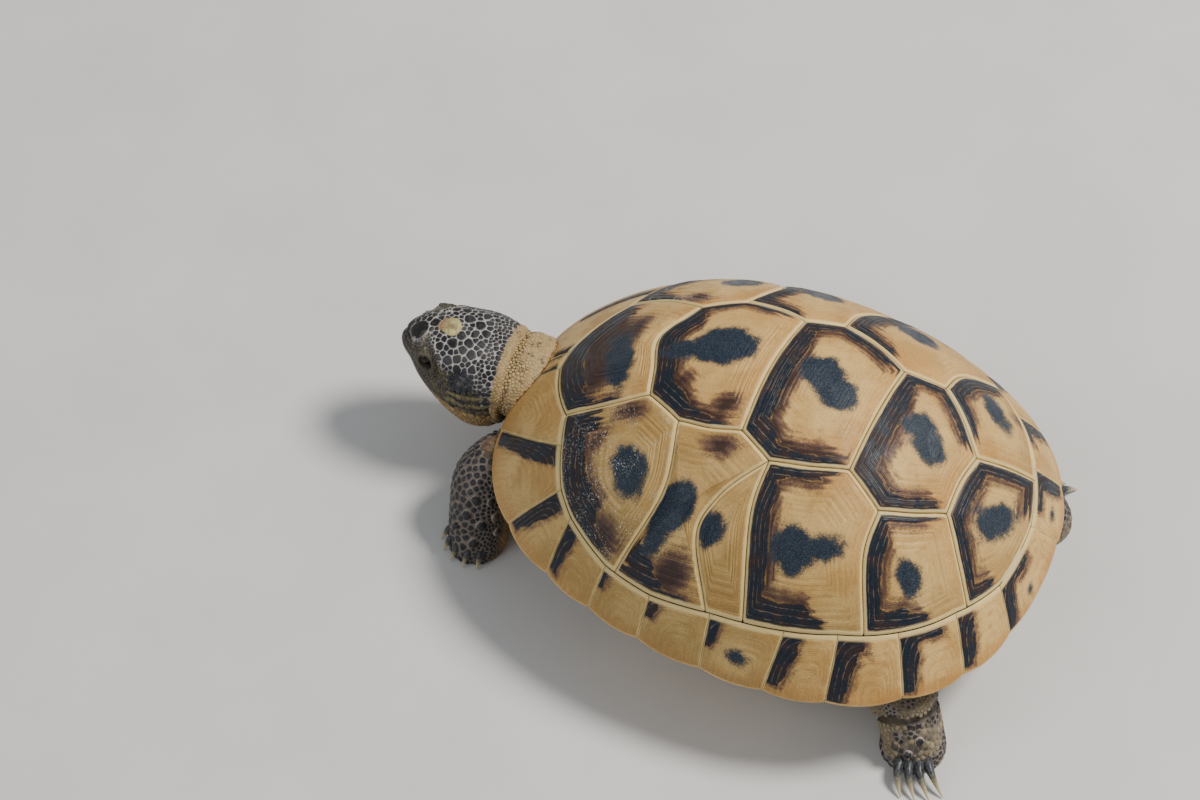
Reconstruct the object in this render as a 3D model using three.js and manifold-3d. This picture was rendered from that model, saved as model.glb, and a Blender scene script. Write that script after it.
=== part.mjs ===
// A young spur-thighed tortoise, life size, standing with its head raised.
// Millimetres. +Z is up, the head points to -Y and the animal's left is +X.
// Every sub-part is one closed solid: the horny plates of the shell, the body inside it,
// the neck, head, eyes, tail and the four legs with their claws.
import * as THREE from 'three';
import { mergeVertices } from 'three/addons/utils/BufferGeometryUtils.js';
import Module from 'manifold-3d';

const wasm = await Module();
wasm.setup();

// ---- Driving dimensions ------------------------------------------------------------

const shellLength = 115;
const shellHalfWidth = 47;
const frontReach = 61.5;            // from the widest section to the front rim
const rearReach = shellLength - frontReach;
const frontRoundness = 2.12;        // exponent of the superellipse in front of the widest section
const rearRoundness = 2.43;
const widestY = frontReach - shellLength / 2;
const domeTop = 60;
const domePower = 2.34;             // how flat the dome's crown is
const rimHeight = 22;
const frontRimRise = 1;
const nuchalNotch = 0.09;           // depth of the notch over the neck, as a part of the reach
const nuchalNotchAngle = 8;
const frontFlare = 0.03;            // how far the rim turns out beside the neck, as a part of the reach
const frontFlareRise = 2;
const frontFlareAngle = 33;
const frontFlareSpread = 20;

const plateThickness = 1.3;
const seamGap = 0.3;                // groove between two plates
const partGap = 0.3;                // space between touching sub-parts
const plateFlare = 0.008;           // how far a marginal's rim swells out between its seams
const middleFlare = 0.006;          // the same for the nuchal and the supracaudal
const plateBulge = 0.75;            // how far a plate's middle stands above its edge
const edgeBevel = 0.35;

const plastronBottom = 6;
const plastronThickness = 1.9;

const headTurn = 6;                 // degrees towards the animal's left
const headOrigin = [0.9, -76.3, 28.9]; // on the head's middle line, just above and behind the eyes
const eyeRadius = 2.1;
const eyeAhead = 0.4;               // the eyeball's centre from the head's origin
const eyeSide = 5.35;
const eyeDrop = 0.8;

// ---- Materials ---------------------------------------------------------------------

const finish = (name, colour, roughness) =>
  new THREE.MeshStandardMaterial({ name, color: colour, roughness, metalness: 0 });

const horn = finish('shell_horn', 0xc79a55, 0.5);
const plastronHorn = finish('plastron_horn', 0xb9955c, 0.55);
const skin = finish('scaly_skin', 0x8a7455, 0.75);
const headSkin = finish('head_skin', 0x45403c, 0.65);
const eyeball = finish('eye', 0x0d0b0a, 0.12);

const tortoise = new THREE.Group();

function addPart(name, geometry, material, parent = tortoise) {
  const mesh = new THREE.Mesh(geometry, material);
  mesh.name = name;
  parent.add(mesh);
  return mesh;
}

// ---- Small tools for closed meshes ---------------------------------------------------

const radians = THREE.MathUtils.degToRad;
const lerp = THREE.MathUtils.lerp;

// Closed geometry from corners and triangles, turned so that its faces point out.
function closedGeometry(points, triangles) {
  const a = new THREE.Vector3();
  const b = new THREE.Vector3();
  let volume = 0;
  for (const [i, j, k] of triangles) {
    a.copy(points[i]);
    b.copy(points[j]).cross(points[k]);
    volume += a.dot(b);
  }
  const facing = volume > 0 ? triangles : triangles.map(([i, j, k]) => [i, k, j]);
  const places = points.flatMap((p) => [p.x, p.y, p.z]);
  const geometry = new THREE.BufferGeometry();
  geometry.setAttribute('position', new THREE.Float32BufferAttribute(places, 3));
  geometry.setIndex(facing.flat());
  return geometry;
}

// Triangles that fill a ring, worked out on the flat that the ring lies closest to.
function fillRing(ring) {
  const normal = new THREE.Vector3();
  ring.forEach((p, i) => {
    const q = ring[(i + 1) % ring.length];
    normal.add(new THREE.Vector3().crossVectors(p, q));
  });
  normal.normalize();
  const sideways = Math.abs(normal.z) < 0.9 ? new THREE.Vector3(0, 0, 1) : new THREE.Vector3(1, 0, 0);
  const axisU = new THREE.Vector3().crossVectors(sideways, normal).normalize();
  const axisV = new THREE.Vector3().crossVectors(normal, axisU);
  const flat = ring.map((p) => new THREE.Vector2(p.dot(axisU), p.dot(axisV)));
  return THREE.ShapeUtils.triangulateShape(flat, []);
}

// Skin over a row of rings with the same number of corners, filled in at each end.
function loftRings(rings) {
  const size = rings[0].length;
  const points = rings.flat();
  const triangles = [];
  for (let r = 0; r + 1 < rings.length; r += 1) {
    for (let i = 0; i < size; i += 1) {
      const j = (i + 1) % size;
      const low = r * size;
      const high = low + size;
      triangles.push([low + i, low + j, high + j], [low + i, high + j, high + i]);
    }
  }
  const last = (rings.length - 1) * size;
  for (const [i, j, k] of fillRing(rings[0])) {
    triangles.push([i, k, j]);
  }
  for (const [i, j, k] of fillRing(rings[rings.length - 1])) {
    triangles.push([last + i, last + j, last + k]);
  }
  return closedGeometry(points, triangles);
}

function toSolid(geometry) {
  const bare = geometry.clone();
  bare.deleteAttribute('normal');
  bare.deleteAttribute('uv');
  const merged = mergeVertices(bare, 1e-4);
  return new wasm.Manifold(new wasm.Mesh({
    numProp: 3,
    vertProperties: new Float32Array(merged.attributes.position.array),
    triVerts: new Uint32Array(merged.index.array),
  }));
}

// A solid grown by a small distance along each axis.
function grown(solid, distance) {
  const axes = [[1, 0, 0], [-1, 0, 0], [0, 1, 0], [0, -1, 0], [0, 0, 1], [0, 0, -1]];
  return axes.reduce((sum, axis) => {
    const shift = axis.map((component) => component * distance);
    return sum.add(solid.translate(shift));
  }, solid);
}

// The largest body of a solid, as a geometry, without the slivers that cutting leaves.
function toGeometry(solid) {
  const sliver = 0.04;
  const bodies = solid.simplify(sliver).decompose();
  bodies.sort((a, b) => b.volume() - a.volume());
  const mesh = bodies[0].getMesh();
  const geometry = new THREE.BufferGeometry();
  geometry.setAttribute('position', new THREE.Float32BufferAttribute(mesh.vertProperties, 3));
  geometry.setIndex(Array.from(mesh.triVerts));
  return geometry;
}

// ---- The shell's surface -------------------------------------------------------------
// A place on the carapace is an angle about the middle of the widest section, 0 at the
// front and growing towards the animal's left, and a fraction of the way out to the rim.

function outlineReach(angle) {
  const ahead = Math.cos(angle);
  const reach = ahead > 0 ? frontReach : rearReach;
  const power = ahead > 0 ? frontRoundness : rearRoundness;
  const across = Math.abs(Math.sin(angle)) / shellHalfWidth;
  const along = Math.abs(ahead) / reach;
  return (across ** power + along ** power) ** (-1 / power);
}

// Degrees from straight ahead, from 0 at the front to 180 at the rear.
function turnFromFront(angle) {
  const turn = Math.atan2(Math.sin(angle), Math.cos(angle));
  return Math.abs(THREE.MathUtils.radToDeg(turn));
}

// 1 where the rim turns out most beside the neck, falling to 0 away from it.
function flareShare(angle) {
  return Math.exp(-(((turnFromFront(angle) - frontFlareAngle) / frontFlareSpread) ** 2));
}

function rimHeightAt(angle) {
  return rimHeight + frontRimRise * Math.max(Math.cos(angle), 0) ** 2 + frontFlareRise * flareShare(angle);
}

function rimFraction(angle) {
  const notch = nuchalNotch * Math.exp(-((turnFromFront(angle) / nuchalNotchAngle) ** 2));
  return 1 - notch + frontFlare * flareShare(angle);
}

function domeHeight(angle, fraction) {
  const rim = rimHeightAt(angle);
  return rim + (domeTop - rim) * (1 - fraction ** domePower);
}

function shellPoint(angle, fraction, height = domeHeight(angle, fraction)) {
  const reach = outlineReach(angle) * fraction;
  return new THREE.Vector3(reach * Math.sin(angle), widestY - reach * Math.cos(angle), height);
}

function domeAbove(x, y) {
  const angle = Math.atan2(x, widestY - y);
  const fraction = Math.hypot(x, widestY - y) / outlineReach(angle);
  return domeHeight(angle, fraction);
}

function domeNormal(x, y) {
  const step = 0.5;
  const slopeX = (domeAbove(x + step, y) - domeAbove(x - step, y)) / (2 * step);
  const slopeY = (domeAbove(x, y + step) - domeAbove(x, y - step)) / (2 * step);
  return new THREE.Vector3(-slopeX, -slopeY, 1).normalize();
}

// A point at a depth below the dome, measured square to it; a negative depth is above.
function domePoint(x, y, depth) {
  const normal = domeNormal(x, y);
  return new THREE.Vector3(x, y, domeAbove(x, y)).addScaledVector(normal, -depth);
}

// ---- Seams of the carapace -------------------------------------------------------------
// Corners where three plates meet, on the animal's left, in plan.

const corner = {
  firstVertebralFront: [15.5, -40],
  firstVertebralRear: [12.2, -23.4],
  secondVertebralSide: [16.4, -15.2],
  secondVertebralRear: [15, -2.2],
  thirdVertebralSide: [18.4, 5.2],
  thirdVertebralRear: [13.4, 20.2],
  fourthVertebralSide: [16.6, 28.1],
  fourthVertebralRear: [7.5, 39.1],
};

// The line between the large plates and the marginals: angle in degrees and fraction.
const marginLine = [
  [2.6, 0.843], [19.5, 0.778], [27, 0.81], [37, 0.863], [44, 0.884], [58.6, 0.904], [72.6, 0.901],
  [90, 0.876], [111, 0.86], [125, 0.851], [140, 0.86], [155.6, 0.874], [170.5, 0.906], [180, 0.908],
];

// Seams between the marginals, from the nuchal to the supracaudal: degrees at rim and top.
const marginalSeams = [
  [2.4, 2.6], [12.8, 27], [34.3, 37], [48, 44], [60.3, 58.6], [74, 72.6],
  [91, 90], [107, 111], [121.3, 125], [138, 140], [152.5, 155.6], [167, 170.5],
];

// Where seams between the large plates end on the margin line, in degrees.
const middleSeamEnd = marginLine[0][0];
const firstVertebralEnd = 19.5;
const firstCostalEnd = 61.6;
const splitCostalEnd = 88.8;
const secondCostalEnd = 99.5;
const thirdCostalEnd = 131.4;
const fifthVertebralSide = 159;

function marginFraction(degrees) {
  const turn = Math.max(degrees, middleSeamEnd);
  const next = Math.max(1, marginLine.findIndex(([angle]) => angle >= turn));
  const [angleA, fractionA] = marginLine[next - 1];
  const [angleB, fractionB] = marginLine[next];
  return lerp(fractionA, fractionB, (turn - angleA) / (angleB - angleA));
}

function marginPoint(degrees) {
  const point = shellPoint(radians(degrees), marginFraction(degrees));
  return [point.x, point.y];
}

// Points along the margin line, both ends included, with every bend of the line kept.
function marginPath(from, to) {
  const step = 5;
  const nearEnd = 0.2;
  const low = Math.min(from, to);
  const high = Math.max(from, to);
  const bends = marginLine.map(([angle]) => angle);
  const between = bends.filter((angle) => angle > low + nearEnd && angle < high - nearEnd);
  const stops = [low, ...between, high];
  const path = [];
  for (let i = 0; i + 1 < stops.length; i += 1) {
    const pieces = Math.max(1, Math.round((stops[i + 1] - stops[i]) / step));
    for (let k = 0; k < pieces; k += 1) {
      path.push(marginPoint(lerp(stops[i], stops[i + 1], k / pieces)));
    }
  }
  path.push(marginPoint(high));
  return from < to ? path : path.reverse();
}

// A seam as a smooth line through its points, cut into equal lengths.
function seamPath(...stops) {
  const spacing = 4.9;
  const places = stops.map(([x, y]) => new THREE.Vector3(x, y, 0));
  const curve = new THREE.CatmullRomCurve3(places, false, 'centripetal');
  const pieces = Math.max(2, Math.round(curve.getLength() / spacing));
  return curve.getSpacedPoints(pieces).map((p) => [p.x, p.y]);
}

const mirrored = ([x, y]) => [-x, y];
const mirrorPath = (path) => path.map(mirrored).reverse();

// Several paths end to end as one outline, without the doubled ends.
function joinPaths(...paths) {
  const same = 0.05;
  const apart = (p, q) => Math.hypot(p[0] - q[0], p[1] - q[1]);
  const outline = [];
  for (const point of paths.flat()) {
    const last = outline[outline.length - 1];
    if (!last || apart(point, last) > same) outline.push(point);
  }
  if (apart(outline[0], outline[outline.length - 1]) < same) outline.pop();
  return outline;
}

const seam = {
  vertebral1Side: seamPath(corner.firstVertebralFront, [14.5, -31.5], corner.firstVertebralRear),
  vertebral2Front: seamPath(corner.firstVertebralRear, corner.secondVertebralSide),
  vertebral2Rear: seamPath(corner.secondVertebralSide, [16.3, -8.5], corner.secondVertebralRear),
  vertebral3Front: seamPath(corner.secondVertebralRear, corner.thirdVertebralSide),
  vertebral3Rear: seamPath(corner.thirdVertebralSide, [16.4, 13], corner.thirdVertebralRear),
  vertebral4Front: seamPath(corner.thirdVertebralRear, corner.fourthVertebralSide),
  vertebral4Rear: seamPath(corner.fourthVertebralSide, [12.6, 33.8], corner.fourthVertebralRear),
  vertebral5Side: seamPath(corner.fourthVertebralRear, [12.6, 44.2], marginPoint(fifthVertebralSide)),
  costal1Rear: seamPath(corner.secondVertebralSide, [27.9, -12.8], marginPoint(firstCostalEnd)),
  costal2Split: seamPath(corner.thirdVertebralSide, [26.5, -1.6], [32, -3.5], marginPoint(splitCostalEnd)),
  costal2Rear: seamPath(corner.thirdVertebralSide, [26.4, 5.4], marginPoint(secondCostalEnd)),
  costal3Rear: seamPath(corner.fourthVertebralSide, [24.1, 28.6], marginPoint(thirdCostalEnd)),
  cross1: seamPath(
    corner.firstVertebralRear, [6.5, -25.2], [-2, -28], [-9, -24.8], mirrored(corner.firstVertebralRear),
  ),
  cross2: seamPath(corner.secondVertebralRear, [0, -3], mirrored(corner.secondVertebralRear)),
  cross3: seamPath(corner.thirdVertebralRear, [0, 20], mirrored(corner.thirdVertebralRear)),
  cross4: seamPath(corner.fourthVertebralRear, [0, 38.6], mirrored(corner.fourthVertebralRear)),
};

const backwards = (path) => [...path].reverse();

// ---- Vertebral and costal plates --------------------------------------------------------

// The outline drawn in by half a seam's width.
function insetOutline(outline, distance) {
  const area = outline.reduce((sum, [x, y], i) => {
    const [nextX, nextY] = outline[(i + 1) % outline.length];
    return sum + x * nextY - nextX * y;
  }, 0);
  const turn = Math.sign(area);
  return outline.map((point, i) => {
    const before = outline[(i + outline.length - 1) % outline.length];
    const after = outline[(i + 1) % outline.length];
    const edgeA = new THREE.Vector2(point[0] - before[0], point[1] - before[1]).normalize();
    const edgeB = new THREE.Vector2(after[0] - point[0], after[1] - point[1]).normalize();
    const inward = new THREE.Vector2(-(edgeA.y + edgeB.y), edgeA.x + edgeB.x).multiplyScalar(turn);
    const length = inward.length();
    const sharpestCorner = 0.45;
    const reach = distance / Math.max(sharpestCorner, length / 2);
    return [point[0] + (inward.x / length) * reach, point[1] + (inward.y / length) * reach];
  });
}

// A curved plate: raised round its areola, bevelled at its seams, even in thickness.
function plateGeometry(outline, areola) {
  const edge = insetOutline(outline, seamGap / 2);
  const ring = (part, depth) => edge.map(([x, y]) =>
    domePoint(lerp(areola[0], x, part), lerp(areola[1], y, part), depth));
  const rings = [
    ring(0.45, plateThickness),
    ring(1, plateThickness),
    ring(1, edgeBevel),
    ring(0.86, -plateBulge * 0.55),
    ring(0.4, -plateBulge),
  ];
  return loftRings(rings);
}

const vertebrals = [
  {
    name: 'vertebral_1',
    areola: [0.5, -34],
    outline: joinPaths(
      marginPath(middleSeamEnd, firstVertebralEnd), seam.vertebral1Side, seam.cross1,
      mirrorPath(seam.vertebral1Side), mirrorPath(marginPath(middleSeamEnd, firstVertebralEnd)),
    ),
  },
  {
    name: 'vertebral_2',
    areola: [-1, -14],
    outline: joinPaths(
      seam.vertebral2Front, seam.vertebral2Rear, seam.cross2,
      mirrorPath(seam.vertebral2Rear), mirrorPath(seam.vertebral2Front), backwards(seam.cross1),
    ),
  },
  {
    name: 'vertebral_3',
    areola: [-0.8, 9.5],
    outline: joinPaths(
      seam.vertebral3Front, seam.vertebral3Rear, seam.cross3,
      mirrorPath(seam.vertebral3Rear), mirrorPath(seam.vertebral3Front), backwards(seam.cross2),
    ),
  },
  {
    name: 'vertebral_4',
    areola: [-1.2, 30],
    outline: joinPaths(
      seam.vertebral4Front, seam.vertebral4Rear, seam.cross4,
      mirrorPath(seam.vertebral4Rear), mirrorPath(seam.vertebral4Front), backwards(seam.cross3),
    ),
  },
  {
    name: 'vertebral_5',
    areola: [0.3, 46],
    outline: joinPaths(
      seam.vertebral5Side, marginPath(fifthVertebralSide, 180),
      mirrorPath(marginPath(fifthVertebralSide, 180)), mirrorPath(seam.vertebral5Side),
      backwards(seam.cross4),
    ),
  },
];

const frontCostal = {
  number: '1',
  areola: [26, -21],
  outline: joinPaths(
    seam.vertebral1Side, seam.vertebral2Front, seam.costal1Rear,
    marginPath(firstCostalEnd, firstVertebralEnd),
  ),
};
const rearCostals = [
  {
    number: '3',
    areola: [28.5, 17],
    outline: joinPaths(
      seam.vertebral3Rear, seam.vertebral4Front, seam.costal3Rear,
      marginPath(thirdCostalEnd, secondCostalEnd), backwards(seam.costal2Rear),
    ),
  },
  {
    number: '4',
    areola: [21.5, 37],
    outline: joinPaths(
      seam.vertebral4Rear, seam.vertebral5Side,
      marginPath(fifthVertebralSide, thirdCostalEnd), backwards(seam.costal3Rear),
    ),
  },
];
// The second costal of the left side is divided in two by an extra seam.
const splitCostals = [
  {
    number: '2_front',
    areola: [29.5, -8.5],
    outline: joinPaths(
      seam.vertebral2Rear, seam.vertebral3Front, seam.costal2Split,
      marginPath(splitCostalEnd, firstCostalEnd), backwards(seam.costal1Rear),
    ),
  },
  {
    number: '2_rear',
    areola: [32, 1.5],
    outline: joinPaths(
      seam.costal2Rear, marginPath(secondCostalEnd, splitCostalEnd), backwards(seam.costal2Split),
    ),
  },
];
const wholeCostal = {
  number: '2',
  areola: [29.5, -5],
  outline: joinPaths(
    seam.vertebral2Rear, seam.vertebral3Front, seam.costal2Rear,
    marginPath(secondCostalEnd, firstCostalEnd), backwards(seam.costal1Rear),
  ),
};

// ---- Marginal plates ----------------------------------------------------------------------
// Each is an angle section bent round the rim: the outer face comes down the dome to the rim,
// and the inner one turns under it. Along the bridge it reaches down to the plastron.

const bridgeFoot = 0.8;             // how far in the bridge plates meet the plastron
const bridgeFootHeight = 11.1;
const bridgeFrom = 60;
const bridgeTo = 116;
const seamInset = 0.003;            // how far inside the margin line a marginal's top edge lies
const underCut = plateThickness * 1.7; // the inner face's depth, measured straight down

// Half a seam as degrees along the rim, a little more where the rim turns fastest.
const halfSeamDegrees = THREE.MathUtils.radToDeg(seamGap / 2 / shellHalfWidth) * 1.15;

function bridgeShare(degrees) {
  const rise = THREE.MathUtils.smoothstep(degrees, bridgeFrom - 10, bridgeFrom + 4);
  const fall = 1 - THREE.MathUtils.smoothstep(degrees, bridgeTo - 6, bridgeTo + 9);
  return rise * fall;
}

// One cross-section of the rim, from the seam at the top, round the rim and back.
function rimSection(topDegrees, rimDegrees, flare) {
  const top = marginFraction(topDegrees);
  const rim = rimFraction(radians(rimDegrees)) + flare;
  const bridge = bridgeShare(rimDegrees);
  const lip = domeHeight(radians(rimDegrees), rim);
  const angleAt = (fraction) => {
    const share = THREE.MathUtils.clamp((fraction - top) / (rim - top), 0, 1);
    return radians(lerp(topDegrees, rimDegrees, share));
  };
  const onDome = (fraction, drop) => {
    const angle = angleAt(fraction);
    return shellPoint(angle, fraction, domeHeight(angle, fraction) - drop);
  };
  const below = (fraction, height) => shellPoint(angleAt(fraction), fraction, height);
  const middle = lerp(top, rim, 0.55);
  const brow = rim - 0.02;
  const underLip = lerp(rim - 0.022, rim - 0.07, bridge);
  const foot = lerp(rim - 0.045, bridgeFoot, bridge);
  const footHeight = lerp(lip - 1, bridgeFootHeight, bridge);
  const footInside = foot - lerp(0.004, 0.03, bridge);
  const wall = lerp(rim - 0.055, rim - 0.09, bridge);
  return [
    onDome(top + seamInset, 0.2),
    onDome(middle, -plateBulge),
    onDome(brow, -plateBulge * 0.6),
    below(rim, lip - 0.3),
    below(underLip, lip - lerp(1.5, 4.5, bridge)),
    below(foot, footHeight),
    below(footInside, footHeight + lerp(1.7, 0.9, bridge)),
    below(wall, lip + lerp(1.4, -1, bridge)),
    onDome(middle - 0.008, underCut),
    onDome(top + seamInset, underCut),
  ];
}

// Adjoining plates are kept apart by a shift of each end section along the rim.
function marginalGeometry(seamA, seamB) {
  const [rimA, topA] = seamA;
  const [rimB, topB] = seamB;
  const nearEnd = 1.5;
  const bends = marginLine.map(([angle]) => angle);
  const between = bends.filter((angle) => angle > topA + nearEnd && angle < topB - nearEnd);
  const evenly = [0, 0.5, 1].map((share) => lerp(topA, topB, share));
  const stops = [...new Set([...between, ...evenly])].sort((a, b) => a - b);
  const sections = stops.map((topDegrees) => {
    const share = (topDegrees - topA) / (topB - topA);
    const inward = halfSeamDegrees * (1 - 2 * share);
    const flare = plateFlare * Math.sin(Math.PI * share) ** 0.7;
    return rimSection(topDegrees + inward, lerp(rimA, rimB, share) + inward, flare);
  });
  return loftRings(sections);
}

function mirrorGeometry(geometry) {
  const copy = geometry.clone();
  copy.scale(-1, 1, 1);
  const index = copy.index.array;
  for (let i = 0; i < index.length; i += 3) {
    const second = index[i + 1];
    index[i + 1] = index[i + 2];
    index[i + 2] = second;
  }
  return copy;
}

// The nuchal and the supracaudal lie across the middle line, in front and behind.
function middleRimGeometry(rimDegrees, topDegrees, centreDegrees) {
  const halfRim = Math.abs(centreDegrees - rimDegrees) - halfSeamDegrees;
  const halfTop = Math.abs(centreDegrees - topDegrees) - halfSeamDegrees;
  const sections = [-1, -0.5, 0, 0.5, 1].map((side) => {
    const rimTurn = Math.abs(centreDegrees - Math.abs(side) * halfRim);
    const topTurn = Math.abs(centreDegrees - Math.abs(side) * halfTop);
    const section = rimSection(topTurn, rimTurn, middleFlare * (1 - side * side));
    return section.map((p) => new THREE.Vector3(Math.sign(side) * Math.abs(p.x), p.y, p.z));
  });
  return loftRings(sections);
}

// Plates that the limbs and the neck press against.
const pressedPlates = [];

function addCarapace() {
  for (const plate of vertebrals) {
    addPart(plate.name, plateGeometry(plate.outline, plate.areola), horn);
  }
  for (const plate of [frontCostal, ...splitCostals, ...rearCostals]) {
    addPart(`costal_left_${plate.number}`, plateGeometry(plate.outline, plate.areola), horn);
  }
  for (const plate of [frontCostal, wholeCostal, ...rearCostals]) {
    const geometry = mirrorGeometry(plateGeometry(plate.outline, plate.areola));
    addPart(`costal_right_${plate.number}`, geometry, horn);
  }
  for (let i = 1; i < marginalSeams.length; i += 1) {
    const geometry = marginalGeometry(marginalSeams[i - 1], marginalSeams[i]);
    addPart(`marginal_left_${i}`, geometry, horn);
    addPart(`marginal_right_${i}`, mirrorGeometry(geometry), horn);
    pressedPlates.push(geometry, mirrorGeometry(geometry));
  }
  const nuchal = middleRimGeometry(...marginalSeams[0], 0);
  addPart('nuchal', nuchal, horn);
  pressedPlates.push(nuchal);
  const supracaudal = middleRimGeometry(...marginalSeams[marginalSeams.length - 1], 180);
  addPart('supracaudal', supracaudal, horn);
}

// ---- Plastron ---------------------------------------------------------------------------

const plastronOutline = [
  [0, -49], [5, -49.5], [9, -46.5], [14.5, -42], [18.5, -36.5], [22, -29], [25, -22.5], [33.6, -18],
  [36.4, -8], [37.3, 3], [36.4, 14], [34, 20], [25.5, 24.5], [20.5, 30], [16, 37.5], [11, 43.2],
  [6.5, 45.5], [3.5, 44], [0, 41.5],
];

// Where each seam leaves the middle line, and how far back it runs at the plastron's edge.
const plastronSeams = [
  { name: 'gular', middle: -49, edge: -49.6 },
  { name: 'humeral', middle: -41, edge: -46 },
  { name: 'pectoral', middle: -25, edge: -22 },
  { name: 'abdominal', middle: -18, edge: -16 },
  { name: 'femoral', middle: 15, edge: 21.5 },
  { name: 'anal', middle: 32, edge: 37 },
];

function plastronEdgeX(y) {
  const side = plastronOutline.findIndex(([, edgeY], i) => i > 1 && edgeY >= y);
  const [xA, yA] = plastronOutline[side - 1];
  const [xB, yB] = plastronOutline[side];
  return lerp(xA, xB, (y - yA) / (yB - yA));
}

// The plastron's underside is flat in the middle and turns up to the bridge and the front.
function plastronHeight(x, y) {
  const turnUp = 0.014 * Math.max(0, Math.abs(x) - 24) ** 2;
  const frontTurn = 0.02 * Math.max(0, -y - 37) ** 2;
  return plastronBottom + turnUp + frontTurn;
}

function plastronPlateOutline(index) {
  const here = plastronSeams[index];
  const next = plastronSeams[index + 1];
  const frontEdge = index === 0 ? null : [plastronEdgeX(here.edge), here.edge];
  const rearEdge = next ? [plastronEdgeX(next.edge), next.edge] : null;
  const from = frontEdge ? here.edge : -60;
  const to = rearEdge ? next.edge : 60;
  const between = plastronOutline.filter(([x, y]) => x > 0 && y > from + 0.3 && y < to - 0.3);
  const rearTip = index === plastronSeams.length - 1 ? [[0, 41.5]] : [];
  const path = [[0, here.middle]];
  if (frontEdge) path.push(frontEdge);
  path.push(...between);
  if (rearEdge) path.push(rearEdge, [0, next.middle]);
  path.push(...rearTip);
  return path;
}

function addPlastron() {
  plastronSeams.forEach((plate, index) => {
    const edge = insetOutline(plastronPlateOutline(index), seamGap / 2);
    const middleX = edge.reduce((sum, [x]) => sum + x, 0) / edge.length;
    const middleY = edge.reduce((sum, [, y]) => sum + y, 0) / edge.length;
    const ring = (part, lift) => edge.map(([x, y]) => {
      const px = lerp(middleX, x, part);
      const py = lerp(middleY, y, part);
      return new THREE.Vector3(px, py, plastronHeight(px, py) + lift);
    });
    const geometry = loftRings([
      ring(0.5, plastronThickness), ring(1, plastronThickness), ring(1, 0.25), ring(0.9, 0), ring(0.5, 0),
    ]);
    addPart(`${plate.name}_left`, geometry, plastronHorn);
    addPart(`${plate.name}_right`, mirrorGeometry(geometry), plastronHorn);
    pressedPlates.push(geometry, mirrorGeometry(geometry));
  });
}

// ---- Flesh --------------------------------------------------------------------------------

// The body inside the shell, grown by an allowance when it is used to trim the limbs.
function trunkGeometry(allowance = 0) {
  const around = 32;
  const crownFractions = [0.12, 0.4, 0.62, 0.76];
  const under = plateThickness + partGap + 0.5;
  const brow = 0.895;
  const browDrop = 4.3;
  const waist = 0.83;
  const waistHeight = 19.6;
  const base = 0.72;
  const baseRise = 3;
  const floorHeight = plastronBottom + plastronThickness + partGap + 1.5;
  const rings = [];
  const ringAt = (fraction, heightAt) => {
    const ring = [];
    for (let i = 0; i < around; i += 1) {
      const angle = (2 * Math.PI * i) / around;
      const reach = outlineReach(angle) * fraction * Math.min(1, rimFraction(angle)) + allowance;
      const x = reach * Math.sin(angle);
      const y = widestY - reach * Math.cos(angle);
      ring.push(new THREE.Vector3(x, y, heightAt(angle)));
    }
    return ring;
  };
  for (const fraction of crownFractions) {
    rings.push(ringAt(fraction, (angle) => {
      const place = shellPoint(angle, fraction);
      return place.z - under / domeNormal(place.x, place.y).z + allowance;
    }));
  }
  rings.push(ringAt(brow, (angle) => domeHeight(angle, brow) - browDrop + allowance));
  rings.push(ringAt(waist, () => waistHeight - allowance));
  rings.push(ringAt(base, () => floorHeight + baseRise - allowance));
  rings.push(ringAt(base - 0.1, () => floorHeight - allowance));
  return loftRings(rings);
}

// A limb's section: an oval ring round a point of its path, square to the path.
function ovalRing(centre, forward, upHint, halfWide, halfHigh, sides) {
  const along = forward.clone().normalize();
  const right = new THREE.Vector3().crossVectors(along, upHint).normalize();
  const up = new THREE.Vector3().crossVectors(right, along).normalize();
  const ring = [];
  for (let i = 0; i < sides; i += 1) {
    const turn = (2 * Math.PI * i) / sides;
    ring.push(centre.clone()
      .addScaledVector(right, halfWide * Math.cos(turn))
      .addScaledVector(up, halfHigh * Math.sin(turn)));
  }
  return ring;
}

// A limb through its stations: each is a place, then half its width and half its depth.
function limbGeometry(stations, upHint, sides = 16, growth = 0) {
  const places = stations.map(([x, y, z]) => new THREE.Vector3(x, y, z));
  const rings = stations.map((station, i) => {
    const before = places[Math.max(0, i - 1)];
    const after = places[Math.min(places.length - 1, i + 1)];
    const forward = after.clone().sub(before);
    return ovalRing(places[i], forward, upHint, station[3] + growth, station[4] + growth, sides);
  });
  return loftRings(rings);
}

// A claw: a tapering, slightly bent horn cone from inside the toe to its tip.
function clawGeometry(base, tip, radius) {
  const bend = 1.1;
  const taper = 0.85;
  const from = new THREE.Vector3(...base);
  const to = new THREE.Vector3(...tip);
  const forward = to.clone().sub(from);
  const rings = [0, 0.55, 0.97].map((part) => {
    const centre = from.clone().lerp(to, part);
    centre.z += bend * Math.sin(Math.PI * part) * radius;
    const size = radius * (1 - taper * part ** 2);
    return ovalRing(centre, forward, new THREE.Vector3(0, 0, 1), size, size * 0.85, 6);
  });
  return loftRings(rings);
}

// Everything below the floor, which gives each sole its flat.
const floorBlock = toSolid(new THREE.BoxGeometry(400, 400, 40).translate(0, 0, -20));

// ---- Head, in its own frame: forward is -Y, the head's origin lies between the eyes -----------

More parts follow.
